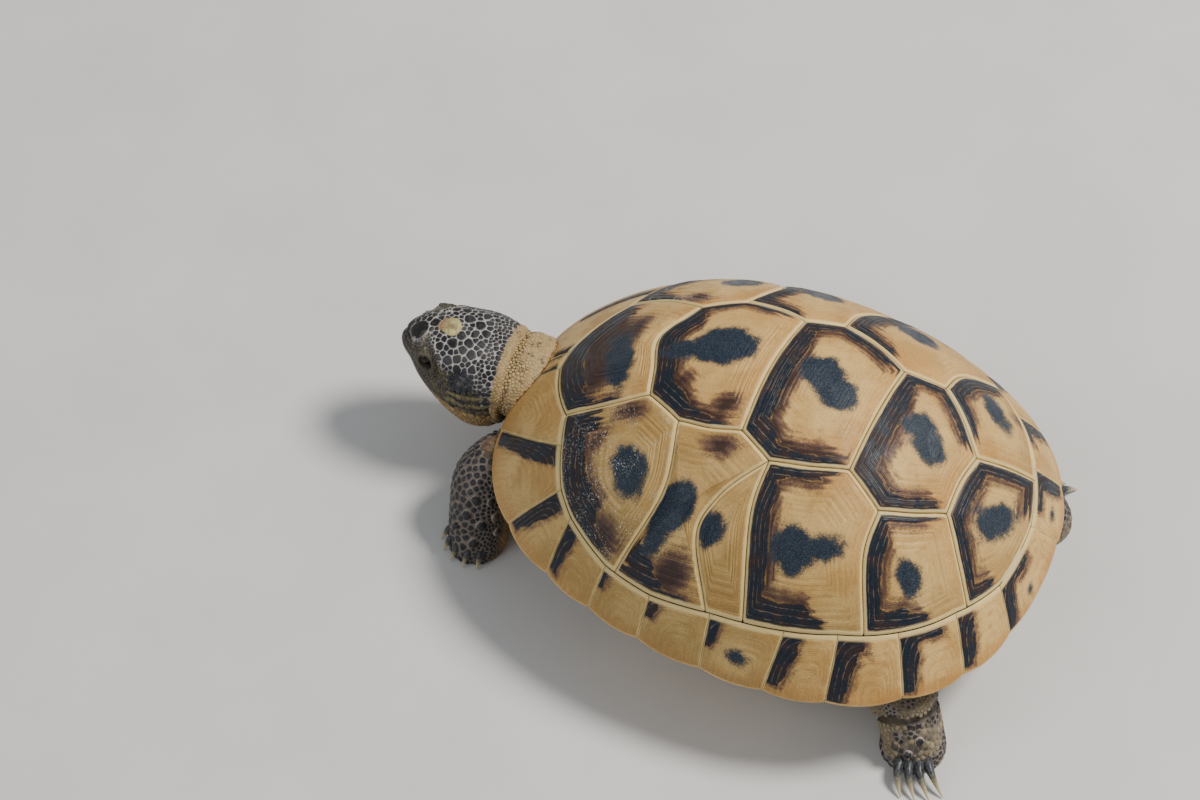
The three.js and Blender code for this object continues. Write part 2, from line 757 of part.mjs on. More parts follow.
// Distance ahead of the origin, half width, top and bottom, and how square the section is.
const headStations = [
  { ahead: 7.6, half: 1.5, top: -1.8, bottom: -5.2, square: 2.2 },
  { ahead: 6.6, half: 3, top: 0, bottom: -6.8, square: 2.3 },
  { ahead: 5, half: 4.2, top: 1.5, bottom: -8, square: 2.4 },
  { ahead: 2.6, half: 6.5, top: 3, bottom: -10.4, square: 2.5 },
  { ahead: 0, half: 8.2, top: 3.9, bottom: -13, square: 2.5 },
  { ahead: -3.2, half: 9.5, top: 4.3, bottom: -15.6, square: 2.6 },
  { ahead: -6.8, half: 10.6, top: 4.2, bottom: -17.8, square: 2.6 },
  { ahead: -10.6, half: 11.1, top: 3.9, bottom: -18.8, square: 2.6 },
  { ahead: -13.6, half: 10.7, top: 3.5, bottom: -18.2, square: 2.5 },
  { ahead: -15.8, half: 9.8, top: 3, bottom: -16.6, square: 2.4 },
];

function headRing({ ahead, half, top, bottom, square }, sides) {
  const middle = (top + bottom) / 2;
  const tall = (top - bottom) / 2;
  const ring = [];
  for (let i = 0; i < sides; i += 1) {
    const turn = (2 * Math.PI * i) / sides;
    const c = Math.cos(turn);
    const s = Math.sin(turn);
    const x = half * Math.sign(c) * Math.abs(c) ** (2 / square);
    const z = middle + tall * Math.sign(s) * Math.abs(s) ** (2 / square);
    ring.push(new THREE.Vector3(x, -ahead, z));
  }
  return ring;
}

const headLoft = () => loftRings(headStations.map((station) => headRing(station, 20)));

// The head without its eye sockets, where it stands on the neck.
function headBlock() {
  return headLoft().rotateZ(radians(headTurn)).translate(...headOrigin);
}

function addHead() {
  const headGroup = new THREE.Group();
  headGroup.position.set(...headOrigin);
  headGroup.rotation.z = radians(headTurn);
  tortoise.add(headGroup);

  const openingRadius = 3;
  const openingDepth = 4.2;
  const eyeballGeometry = new THREE.SphereGeometry(eyeRadius, 12, 8);
  let head = toSolid(headLoft());
  for (const side of [1, -1]) {
    const centre = [side * eyeSide, -eyeAhead, -eyeDrop];
    const socket = new THREE.SphereGeometry(eyeRadius + partGap, 12, 8).translate(...centre);
    const opening = new THREE.CylinderGeometry(openingRadius, eyeRadius * 0.8, openingDepth, 12)
      .rotateZ(-side * Math.PI / 2)
      .translate(side * (eyeSide + openingDepth * 0.6), -eyeAhead, -eyeDrop);
    head = head.subtract(toSolid(socket)).subtract(toSolid(opening));
    const name = side > 0 ? 'eye_left' : 'eye_right';
    const eye = addPart(name, eyeballGeometry.clone(), eyeball, headGroup);
    eye.position.set(...centre);
  }
  addPart('head', toGeometry(head), headSkin, headGroup);
}

// The neck runs from the back of the head down under the front of the shell.
function fromHead(ahead, height) {
  return [
    headOrigin[0] + Math.sin(radians(headTurn)) * ahead,
    headOrigin[1] - Math.cos(radians(headTurn)) * ahead,
    headOrigin[2] + height,
  ];
}
const neckStations = [
  [...fromHead(-15.8 - partGap, -6.2), 8.8, 8],
  [...fromHead(-18.4, -6), 9.9, 8.6],
  [-2, -55.4, 22.7, 9.8, 8.3],
  [-1.3, -51, 20.8, 9.4, 8],
  [-0.5, -46.5, 19.4, 9, 7.6],
  [0, -40, 19, 9.2, 7.6],
];
const upward = new THREE.Vector3(0, 0, 1);
const trunkCutter = toSolid(trunkGeometry(partGap));
const neckCutter = toSolid(limbGeometry(neckStations, upward, 16, partGap));
const headCutter = grown(toSolid(headBlock()), partGap);

// Flesh cut back where the trunk and the plates lie against it.
function pressedFlesh(solid) {
  return pressedPlates.reduce(
    (left, plate) => left.subtract(grown(toSolid(plate), partGap)),
    solid.subtract(trunkCutter),
  );
}

function addBody() {
  addPart('trunk', trunkGeometry(), skin);
  const neck = toSolid(limbGeometry(neckStations, upward, 16));
  addPart('neck', toGeometry(pressedFlesh(neck).subtract(headCutter)), skin);
  const tailStations = [
    [0, 42, 15, 5, 4.6], [0.4, 47, 14, 4.5, 4.1], [1.4, 50, 12.2, 3.6, 3.3],
    [3.2, 51.6, 9.8, 2.5, 2.3], [5.4, 51.6, 7.8, 1.4, 1.3], [6.8, 51.2, 7, 0.5, 0.5],
  ];
  const tail = toSolid(limbGeometry(tailStations, upward, 12));
  addPart('tail', toGeometry(pressedFlesh(tail)), skin);
}

// ---- Legs ------------------------------------------------------------------------------------

// Each leg is posed on its own. Front legs: out beside the neck, elbow ahead of the rim, and
// down to a broad foot. Hind legs: columns under the rear rim. Claws fan out from a foot about
// their heading, which is in degrees from the leg's own side towards the tail.
const legs = {
  front_leg_left: {
    side: 1,
    stations: [
      [11, -34, 18, 7, 7], [12.6, -44, 16.6, 7.2, 6.8], [14.6, -53, 15, 7.5, 7],
      [18.6, -56.4, 12, 7.8, 6.9], [22.4, -56, 8, 7.2, 6.3], [24.4, -55.4, 4, 7, 6.1],
      [25.2, -55, 1.4, 7.2, 6.2], [25.4, -54.8, -1.5, 7, 6],
    ],
    claws: { heading: -20, spread: 110, count: 5, reach: 4.8, length: 3.2, radius: 1.3 },
  },
  front_leg_right: {
    side: -1,
    stations: [
      [11, -34, 18, 7, 7], [14, -42.5, 16.4, 7.2, 6.8], [17.6, -48.5, 14, 7.5, 7],
      [21, -51, 11, 7.8, 6.9], [24, -52, 7.6, 7.4, 6.3], [25.8, -52.2, 4, 7.2, 6.1],
      [26.6, -52, 1.4, 7.4, 6.2], [26.8, -52, -1.5, 7, 6],
    ],
    claws: { heading: -45, spread: 110, count: 5, reach: 5.2, length: 4, radius: 1.3 },
  },
  hind_leg_left: {
    side: 1,
    stations: [
      [15, 27, 19.5, 7.5, 8], [21.5, 34, 15.8, 7.2, 7.2], [27, 40, 11.6, 7, 7],
      [30.2, 43.8, 7.4, 6.6, 6.6], [31.6, 45.4, 3.6, 6.6, 6.6], [32.2, 46, 1, 6.9, 6.9],
      [32.4, 46.2, -1.5, 6.6, 6.6],
    ],
    claws: { heading: 26, spread: 62, count: 4, reach: 4.6, length: 7.6, radius: 1.4 },
  },
  hind_leg_right: {
    side: -1,
    stations: [
      [15, 27, 19.5, 7.5, 8], [21, 34, 15.8, 7.2, 7.2], [26, 40.5, 11.6, 7, 7],
      [28.8, 45, 7.4, 6.6, 6.6], [29.8, 46.8, 3.6, 6.6, 6.6], [30.2, 47.4, 1, 6.9, 6.9],
      [30.4, 47.6, -1.5, 6.6, 6.6],
    ],
    claws: { heading: -8, spread: 62, count: 4, reach: 4.6, length: 6.6, radius: 1.4 },
  },
};

function legGeometry({ side, stations, claws }) {
  const rootHeight = 2.5;
  const tipHeight = 0.4;
  const closing = 0.45;             // how much less the claws' tips fan out than their roots
  const placed = stations.map(([x, y, z, wide, deep]) => [x * side, y, z, wide, deep]);
  const [footX, footY] = placed[placed.length - 1];
  let leg = toSolid(limbGeometry(placed, new THREE.Vector3(0, 1, 0)));
  for (let i = 0; i < claws.count; i += 1) {
    const fan = claws.spread * (i / (claws.count - 1) - 0.5);
    const root = radians(claws.heading + fan);
    const aim = radians(claws.heading + fan * closing);
    const baseX = Math.cos(root) * claws.reach;
    const baseY = Math.sin(root) * claws.reach;
    const tipX = baseX + Math.cos(aim) * claws.length;
    const tipY = baseY + Math.sin(aim) * claws.length;
    const claw = clawGeometry(
      [footX + baseX * side, footY + baseY, rootHeight],
      [footX + tipX * side, footY + tipY, tipHeight],
      claws.radius,
    );
    leg = leg.add(toSolid(claw));
  }
  const free = leg.subtract(floorBlock).subtract(neckCutter).subtract(headCutter);
  return toGeometry(pressedFlesh(free));
}

function addLegs() {
  for (const [name, leg] of Object.entries(legs)) {
    addPart(name, legGeometry(leg), skin);
  }
}

addCarapace();
addPlastron();
addBody();
addHead();
addLegs();

// The origin is under the middle of the whole animal's box, on the floor.
tortoise.updateMatrixWorld(true);
const box = new THREE.Box3().setFromObject(tortoise, true);
const middle = box.getCenter(new THREE.Vector3());
tortoise.position.set(-middle.x, -middle.y, 0);

export default tortoise;
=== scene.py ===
"""A young spur-thighed tortoise, life size: its looks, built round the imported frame.

The shell's horny plates, the skin of the body, the scales over it, the beak, eyes and claws
are all mesh. Shapes are worked out in millimetres in the shell's own frame, where the head
points to -Y, the animal's left is +X, the floor is z = 0 and the widest section is at WIDEST_Y.
"""

import math

import bpy
import numpy as np
import openvdb as vdb
from mathutils import Matrix, Vector


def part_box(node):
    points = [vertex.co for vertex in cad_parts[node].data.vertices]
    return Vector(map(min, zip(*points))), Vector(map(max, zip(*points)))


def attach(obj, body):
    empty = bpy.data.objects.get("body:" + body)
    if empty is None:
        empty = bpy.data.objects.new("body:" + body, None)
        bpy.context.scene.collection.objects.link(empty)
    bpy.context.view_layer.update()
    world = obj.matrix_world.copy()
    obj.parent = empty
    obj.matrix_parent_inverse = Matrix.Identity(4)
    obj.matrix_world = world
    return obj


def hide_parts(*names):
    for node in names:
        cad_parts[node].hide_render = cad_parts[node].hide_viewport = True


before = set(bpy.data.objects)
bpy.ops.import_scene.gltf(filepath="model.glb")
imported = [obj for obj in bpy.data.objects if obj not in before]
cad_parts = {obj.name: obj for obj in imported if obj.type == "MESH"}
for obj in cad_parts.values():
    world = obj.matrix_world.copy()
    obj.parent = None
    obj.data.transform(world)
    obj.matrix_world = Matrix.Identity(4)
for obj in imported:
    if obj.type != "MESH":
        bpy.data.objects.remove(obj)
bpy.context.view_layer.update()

MM = 0.001
UP = np.array([0, 0, 1.0])


# ---- Shell dimensions, as in the solids --------------------------------------------------------

SHELL_LENGTH = 115.0
SHELL_HALF_WIDTH = 47.0
FRONT_REACH = 61.5
REAR_REACH = SHELL_LENGTH - FRONT_REACH
FRONT_ROUNDNESS = 2.12
REAR_ROUNDNESS = 2.43
WIDEST_Y = FRONT_REACH - SHELL_LENGTH / 2
DOME_TOP = 60.0
DOME_POWER = 2.34
RIM_HEIGHT = 22.0
FRONT_RIM_RISE = 1.0
NUCHAL_NOTCH = 0.09
NUCHAL_NOTCH_ANGLE = 8.0
FLARE = 0.03
FLARE_RISE = 2.0
FLARE_ANGLE = 33.0
FLARE_SPREAD = 20.0
PLATE_THICKNESS = 1.3
PLATE_BULGE = 0.75
PLATE_FLARE = 0.008                 # how far a marginal's rim swells out between its seams
MIDDLE_FLARE = 0.006                # the same for the nuchal and the supracaudal
PLASTRON_BOTTOM = 6.0
PLASTRON_THICKNESS = 1.9
TRUNK_REACH = 0.895                 # how far out the body inside the shell comes
SEAM_HALF = 0.045                   # half the slit left between two plates

# The frame is centred on the whole animal's box, the shell's frame on the shell.
ROW_SHIFT_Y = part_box("trunk")[1].y / MM - (WIDEST_Y + TRUNK_REACH * REAR_REACH)


def smoothstep(low, high, value):
    part = np.clip((value - low) / (high - low), 0.0, 1.0)
    return part * part * (3 - 2 * part)


def lerp(a, b, part):
    return a + (b - a) * part


def bump_at(value, width):
    """1 where the value is 0, falling off smoothly to each side."""
    return np.exp(-((value / width) ** 2))


# ---- Seeded noise ------------------------------------------------------------------------------

LATTICE = np.random.default_rng(7).random((32, 32, 32)).astype(np.float32) * 2 - 1


def value_noise(points, size, seed=0):
    """Smooth noise from -1 to 1 at points in mm, with features about size mm across."""
    place = np.asarray(points, float) / size + seed * 7.31
    low = np.floor(place).astype(int)
    part = place - low
    part = part * part * (3 - 2 * part)
    total = np.zeros(len(place))
    for corner in range(8):
        step = np.array([(corner >> k) & 1 for k in range(3)])
        index = (low + step) % 32
        weight = np.prod(np.where(step == 1, part, 1 - part), axis=1)
        total += weight * LATTICE[index[:, 0], index[:, 1], index[:, 2]]
    return total


# ---- The shell's surface -----------------------------------------------------------------------


def outline_reach(angle):
    """How far the shell's outline lies from its widest section's middle; 0 is ahead."""
    ahead = np.cos(angle)
    reach = np.where(ahead > 0, FRONT_REACH, REAR_REACH)
    power = np.where(ahead > 0, FRONT_ROUNDNESS, REAR_ROUNDNESS)
    across = np.abs(np.sin(angle)) / SHELL_HALF_WIDTH
    along = np.abs(ahead) / reach
    return (across**power + along**power) ** (-1 / power)


def turn_from_front(angle):
    return np.abs(np.degrees(np.arctan2(np.sin(angle), np.cos(angle))))


def flare_share(angle):
    """How much of the flare there is over the front legs, from 0 to 1."""
    return bump_at(turn_from_front(angle) - FLARE_ANGLE, FLARE_SPREAD)


def rim_height(angle):
    rise = FRONT_RIM_RISE * np.maximum(np.cos(angle), 0) ** 2
    return RIM_HEIGHT + rise + FLARE_RISE * flare_share(angle)


def rim_fraction(angle):
    """How far out the rim reaches, as a part of the outline's reach."""
    notch = NUCHAL_NOTCH * bump_at(turn_from_front(angle), NUCHAL_NOTCH_ANGLE)
    return 1 - notch + FLARE * flare_share(angle)


def dome_height(angle, fraction):
    """The dome's height at a fraction of the way out to the outline."""
    rim = rim_height(angle)
    return rim + (DOME_TOP - rim) * (1 - fraction**DOME_POWER)


def shell_plan(degrees, fraction):
    angle = np.radians(degrees)
    reach = outline_reach(angle) * fraction
    return np.stack([reach * np.sin(angle), WIDEST_Y - reach * np.cos(angle)], -1)


def dome_place(x, y):
    """The angle of a place in plan, and the fraction of the way out that it lies at."""
    angle = np.arctan2(x, WIDEST_Y - y)
    return angle, np.hypot(x, WIDEST_Y - y) / outline_reach(angle)


def dome_above(x, y):
    return dome_height(*dome_place(x, y))


def dome_normal(x, y):
    step = 0.5
    slope_x = (dome_above(x + step, y) - dome_above(x - step, y)) / (2 * step)
    slope_y = (dome_above(x, y + step) - dome_above(x, y - step)) / (2 * step)
    normal = np.stack([-slope_x, -slope_y, np.ones_like(slope_x)], -1)
    return normal / np.linalg.norm(normal, axis=-1, keepdims=True)


def dome_point(x, y, lift):
    """Places lifted square off the dome, over places in plan."""
    normal = dome_normal(x, y)
    return np.stack([x, y, dome_above(x, y)], -1) + normal * np.asarray(lift)[..., None]


# ---- Seams of the carapace ---------------------------------------------------------------------

CORNER = {
    "v1_front": (15.5, -40), "v1_rear": (12.2, -23.4), "v2_side": (16.4, -15.2),
    "v2_rear": (15, -2.2), "v3_side": (18.4, 5.2), "v3_rear": (13.4, 20.2),
    "v4_side": (16.6, 28.1), "v4_rear": (7.5, 39.1),
}

# The line between the large plates and the marginals: degrees from the front, fraction.
MARGIN_LINE = np.array([
    (2.6, 0.843), (19.5, 0.778), (27, 0.81), (37, 0.863), (44, 0.884), (58.6, 0.904),
    (72.6, 0.901), (90, 0.876), (111, 0.86), (125, 0.851), (140, 0.86), (155.6, 0.874),
    (170.5, 0.906), (180, 0.908),
])

# Seams between the marginals, nuchal to supracaudal: degrees at the rim and at the top.
MARGINAL_SEAMS = [
    (2.4, 2.6), (12.8, 27), (34.3, 37), (48, 44), (60.3, 58.6), (74, 72.6),
    (91, 90), (107, 111), (121.3, 125), (138, 140), (152.5, 155.6), (167, 170.5),
]

# Where the large plates' seams meet the marginals, in degrees from the front.
MIDDLE_TOP = 2.6
V1_MARGIN_END = 19.5
C1_END = 61.6
C2_SPLIT_END = 88.8
C2_END = 99.5
C3_END = 131.4
V5_SIDE = 159.0
MARGIN_STEP = 1.5                   # in degrees, along a plate's outline
SEAM_STEPS = 24                     # points between two stops of a seam


def margin_fraction(degrees):
    return np.interp(degrees, MARGIN_LINE[:, 0], MARGIN_LINE[:, 1])


def margin_point(degrees):
    return shell_plan(np.asarray(degrees, float), margin_fraction(degrees))


def margin_path(start, end):
    return margin_point(np.linspace(start, end, max(2, int(abs(end - start) / MARGIN_STEP))))


def seam_path(*stops):
    """A smooth line through its stops (centripetal Catmull-Rom), in short equal steps."""
    points = np.array(stops, float)
    if len(points) == 2:
        return points
    points = np.vstack([2 * points[0] - points[1], points, 2 * points[-1] - points[-2]])
    pieces = []
    for p0, p1, p2, p3 in zip(points, points[1:], points[2:], points[3:]):
        t1 = np.linalg.norm(p1 - p0) ** 0.5
        t2 = t1 + np.linalg.norm(p2 - p1) ** 0.5
        t3 = t2 + np.linalg.norm(p3 - p2) ** 0.5
        t = np.linspace(t1, t2, SEAM_STEPS)[:, None]
        a1 = (t1 - t) / t1 * p0 + t / t1 * p1
        a2 = (t2 - t) / (t2 - t1) * p1 + (t - t1) / (t2 - t1) * p2
        a3 = (t3 - t) / (t3 - t2) * p2 + (t - t2) / (t3 - t2) * p3
        b1 = (t2 - t) / t2 * a1 + t / t2 * a2
        b2 = (t3 - t) / (t3 - t1) * a2 + (t - t1) / (t3 - t1) * a3
        pieces.append((t2 - t) / (t2 - t1) * b1 + (t - t1) / (t2 - t1) * b2)
    return np.vstack(pieces)


def mirrored(path):
    return np.asarray(path, float) * (-1, 1)


def mirror_path(path):
    return mirrored(path)[::-1]


def joined(*paths):
    return np.vstack(paths)


def carapace_seams(c):
    """The seams between the large plates, from the corners c; the left side stands for both."""
    return {
        "v1_side": seam_path(c["v1_front"], (14.5, -31.5), c["v1_rear"]),
        "v2_front": seam_path(c["v1_rear"], c["v2_side"]),
        "v2_back": seam_path(c["v2_side"], (16.3, -8.5), c["v2_rear"]),
        "v3_front": seam_path(c["v2_rear"], c["v3_side"]),
        "v3_back": seam_path(c["v3_side"], (16.4, 13), c["v3_rear"]),
        "v4_front": seam_path(c["v3_rear"], c["v4_side"]),
        "v4_back": seam_path(c["v4_side"], (12.6, 33.8), c["v4_rear"]),
        "v5_side": seam_path(c["v4_rear"], (12.6, 44.2), margin_point(V5_SIDE)),
        "c1_rear": seam_path(c["v2_side"], (27.9, -12.8), margin_point(C1_END)),
        "c2_split": seam_path(c["v3_side"], (26.5, -1.6), (32, -3.5), margin_point(C2_SPLIT_END)),
        "c2_rear": seam_path(c["v3_side"], (26.4, 5.4), margin_point(C2_END)),
        "c3_rear": seam_path(c["v4_side"], (24.1, 28.6), margin_point(C3_END)),
        "cross1": seam_path(
            c["v1_rear"], (6.5, -25.2), (-2, -28), (-9, -24.8), mirrored(c["v1_rear"])),
        "cross2": seam_path(c["v2_rear"], (0, -3), mirrored(c["v2_rear"])),
        "cross3": seam_path(c["v3_rear"], (0, 20), mirrored(c["v3_rear"])),
        "cross4": seam_path(c["v4_rear"], (0, 38.6), mirrored(c["v4_rear"])),
    }


NO_PATH = np.zeros((0, 2))


def vertebral_outline(side, rear=NO_PATH, front=NO_PATH):
    """Outline back along the left side, across, forward along the right side, across again."""
    return joined(side, rear, mirror_path(side), front)


def plate_outlines(s):
    """Each large plate's outline in plan, from the seams s."""
    first_side = joined(margin_path(MIDDLE_TOP, V1_MARGIN_END), s["v1_side"])
    outlines = {"vertebral_1": vertebral_outline(first_side, s["cross1"])}
    for number in (2, 3, 4):
        side = joined(s[f"v{number}_front"], s[f"v{number}_back"])
        front = s[f"cross{number - 1}"][::-1]
        outlines[f"vertebral_{number}"] = vertebral_outline(side, s[f"cross{number}"], front)
    last_side = joined(s["v5_side"], margin_path(V5_SIDE, 180))
    outlines["vertebral_5"] = vertebral_outline(last_side, front=s["cross4"][::-1])
    outlines["costal_left_1"] = joined(
        s["v1_side"], s["v2_front"], s["c1_rear"], margin_path(C1_END, V1_MARGIN_END))
    outlines["costal_left_2_front"] = joined(
        s["v2_back"], s["v3_front"], s["c2_split"], margin_path(C2_SPLIT_END, C1_END),
        s["c1_rear"][::-1])
    outlines["costal_left_2_rear"] = joined(
        s["c2_rear"], margin_path(C2_END, C2_SPLIT_END), s["c2_split"][::-1])
    outlines["costal_left_3"] = joined(
        s["v3_back"], s["v4_front"], s["c3_rear"], margin_path(C3_END, C2_END), s["c2_rear"][::-1])
    outlines["costal_left_4"] = joined(
        s["v4_back"], s["v5_side"], margin_path(V5_SIDE, C3_END), s["c3_rear"][::-1])
    outlines["costal_right_2"] = mirrored(joined(
        s["v2_back"], s["v3_front"], s["c2_rear"], margin_path(C2_END, C1_END), s["c1_rear"][::-1]))
    for number in (1, 3, 4):
        outlines[f"costal_right_{number}"] = mirrored(outlines[f"costal_left_{number}"])
    return outlines


OUTLINES = plate_outlines(carapace_seams(CORNER))

AREOLAS = {
    "vertebral_1": (0.5, -34), "vertebral_2": (-1, -14), "vertebral_3": (-0.8, 9.5),
    "vertebral_4": (-1.2, 30), "vertebral_5": (0.3, 46), "costal_left_1": (26, -21),
    "costal_left_2_front": (29.5, -8.5), "costal_left_2_rear": (32, 1.5),
    "costal_left_3": (28.5, 17), "costal_left_4": (21.5, 37), "costal_right_1": (-26, -21),
    "costal_right_2": (-29.5, -5), "costal_right_3": (-28.5, 17), "costal_right_4": (-21.5, 37),
}


# ---- Meshes ------------------------------------------------------------------------------------

BLOCK = 4000                        # how many points are measured at once, to save memory
SHARP_EDGE = 50                     # edges of a plate sharper than this, in degrees, stay sharp


def add_piece(name, points, quads, triangles=(), values=None, material=None,
              stands_for=(), sharp_degrees=None, uv=None):
    """A mesh piece from points in the shell's frame (mm), with a float attribute per value."""
    points = np.asarray(points, float)
    quads = np.asarray(quads, np.int32).reshape(-1, 4)
    triangles = np.asarray(triangles, np.int32).reshape(-1, 3)
    mesh = bpy.data.meshes.new(name)
    mesh.vertices.add(len(points))
    placed = (points + (0, ROW_SHIFT_Y, 0)) * MM
    placed[:, 2] = np.maximum(placed[:, 2], 0)
    mesh.vertices.foreach_set("co", placed.astype(np.float32).ravel())
    corners = np.concatenate([quads.ravel(), triangles.ravel()])
    sizes = np.concatenate([np.full(len(quads), 4), np.full(len(triangles), 3)])
    mesh.loops.add(len(corners))
    mesh.loops.foreach_set("vertex_index", corners.astype(np.int32))
    mesh.polygons.add(len(sizes))
    starts = np.concatenate([[0], np.cumsum(sizes)[:-1]])
    mesh.polygons.foreach_set("loop_start", starts.astype(np.int32))
    mesh.polygons.foreach_set("use_smooth", np.ones(len(sizes), bool))
    mesh.update(calc_edges=True)
    if sharp_degrees is not None:
        mesh.set_sharp_from_angle(angle=math.radians(sharp_degrees))
    for key, data in (values or {}).items():
        data = np.asarray(data, np.float32)
        kind = "FLOAT_COLOR" if data.ndim == 2 else "FLOAT"
        attribute = mesh.attributes.new(key, kind, "POINT")
        attribute.data.foreach_set("color" if data.ndim == 2 else "value", data.ravel())
    if uv is not None:
        layer = mesh.uv_layers.new(name="OFBake")
        layer.uv.foreach_set("vector", uv[corners].astype(np.float32).ravel())
    if material is not None:
        mesh.materials.append(material)
    piece = bpy.data.objects.new(name, mesh)
    bpy.context.scene.collection.objects.link(piece)
    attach(piece, "root")
    if stands_for:
        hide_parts(*stands_for)


def outward(points, quads, triangles):
    """The faces turned so that the closed shape they make faces out."""
    cut = np.vstack([triangles, quads[:, [0, 1, 2]], quads[:, [0, 2, 3]]])
    first, second, third = (points[cut[:, k]] for k in range(3))
    if np.einsum("ij,ij->i", first, np.cross(second, third)).sum() < 0:
        return quads[:, ::-1], triangles[:, ::-1]
    return quads, triangles


def ring_quads(ring_count, ring_size):
    """Quads between neighbouring closed rings that lie one after another in the point list."""
    low = np.arange(ring_count - 1)[:, None] * ring_size
    here = np.arange(ring_size)
    after = (here + 1) % ring_size
    return np.stack([low + here, low + after, low + ring_size + after, low + ring_size + here],
                    -1).reshape(-1, 4)


def plate_faces(ring_count, size):
    """Faces of a plate: its face's rings and their centre, then two rings and a centre behind."""
    here = np.arange(size)
    after = (here + 1) % size
    centre = ring_count * size
    last, low = centre - size, centre + 1
    quads = np.vstack([
        ring_quads(ring_count, size),
        np.stack([last + here, last + after, low + after, low + here], -1),
        ring_quads(2, size) + low,
    ])
    triangles = np.vstack([
        np.stack([np.full(size, centre), after, here], -1),
        np.stack([low + size + here, low + size + after, np.full(size, low + 2 * size)], -1),
    ])
    return quads, triangles


def even_loop(outline, spacing):
    """A closed outline cut into steps of about one spacing."""
    closed = np.vstack([outline, outline[:1]])
    steps = np.linalg.norm(np.diff(closed, axis=0), axis=1)
    keep = np.concatenate([[True], steps > 1e-6])
    closed = closed[keep]
    along = np.concatenate([[0], np.cumsum(np.linalg.norm(np.diff(closed, axis=0), axis=1))])
    places = np.linspace(0, along[-1], int(along[-1] / spacing) + 1)[:-1]
    return np.stack([np.interp(places, along, closed[:, k]) for k in range(2)], -1)


def outline_distance(points, outline):
    """Distance in plan from each point to a closed outline."""
    edge = np.roll(outline, -1, axis=0) - outline
    length = np.maximum((edge**2).sum(1), 1e-9)
    best = np.empty(len(points))
    for start in range(0, len(points), BLOCK):
        block = slice(start, start + BLOCK)
        away = points[block, None] - outline[None]
        part = np.clip((away * edge).sum(2) / length, 0, 1)
        gap = away - edge[None] * part[..., None]
        best[block] = np.sqrt((gap**2).sum(2)).min(1)
    return best


# ---- Markings ----------------------------------------------------------------------------------
# A band follows a plate's edge between two directions about the areola: 0 is ahead and 90 the
# animal's left; then its width and the brown halo's width inside it. A spot is its middle in
# plan, half its length, half its width and the direction of its length. All in mm and degrees.
# dust and olive are how dusty and how olive the plate is, from 0 to 1.

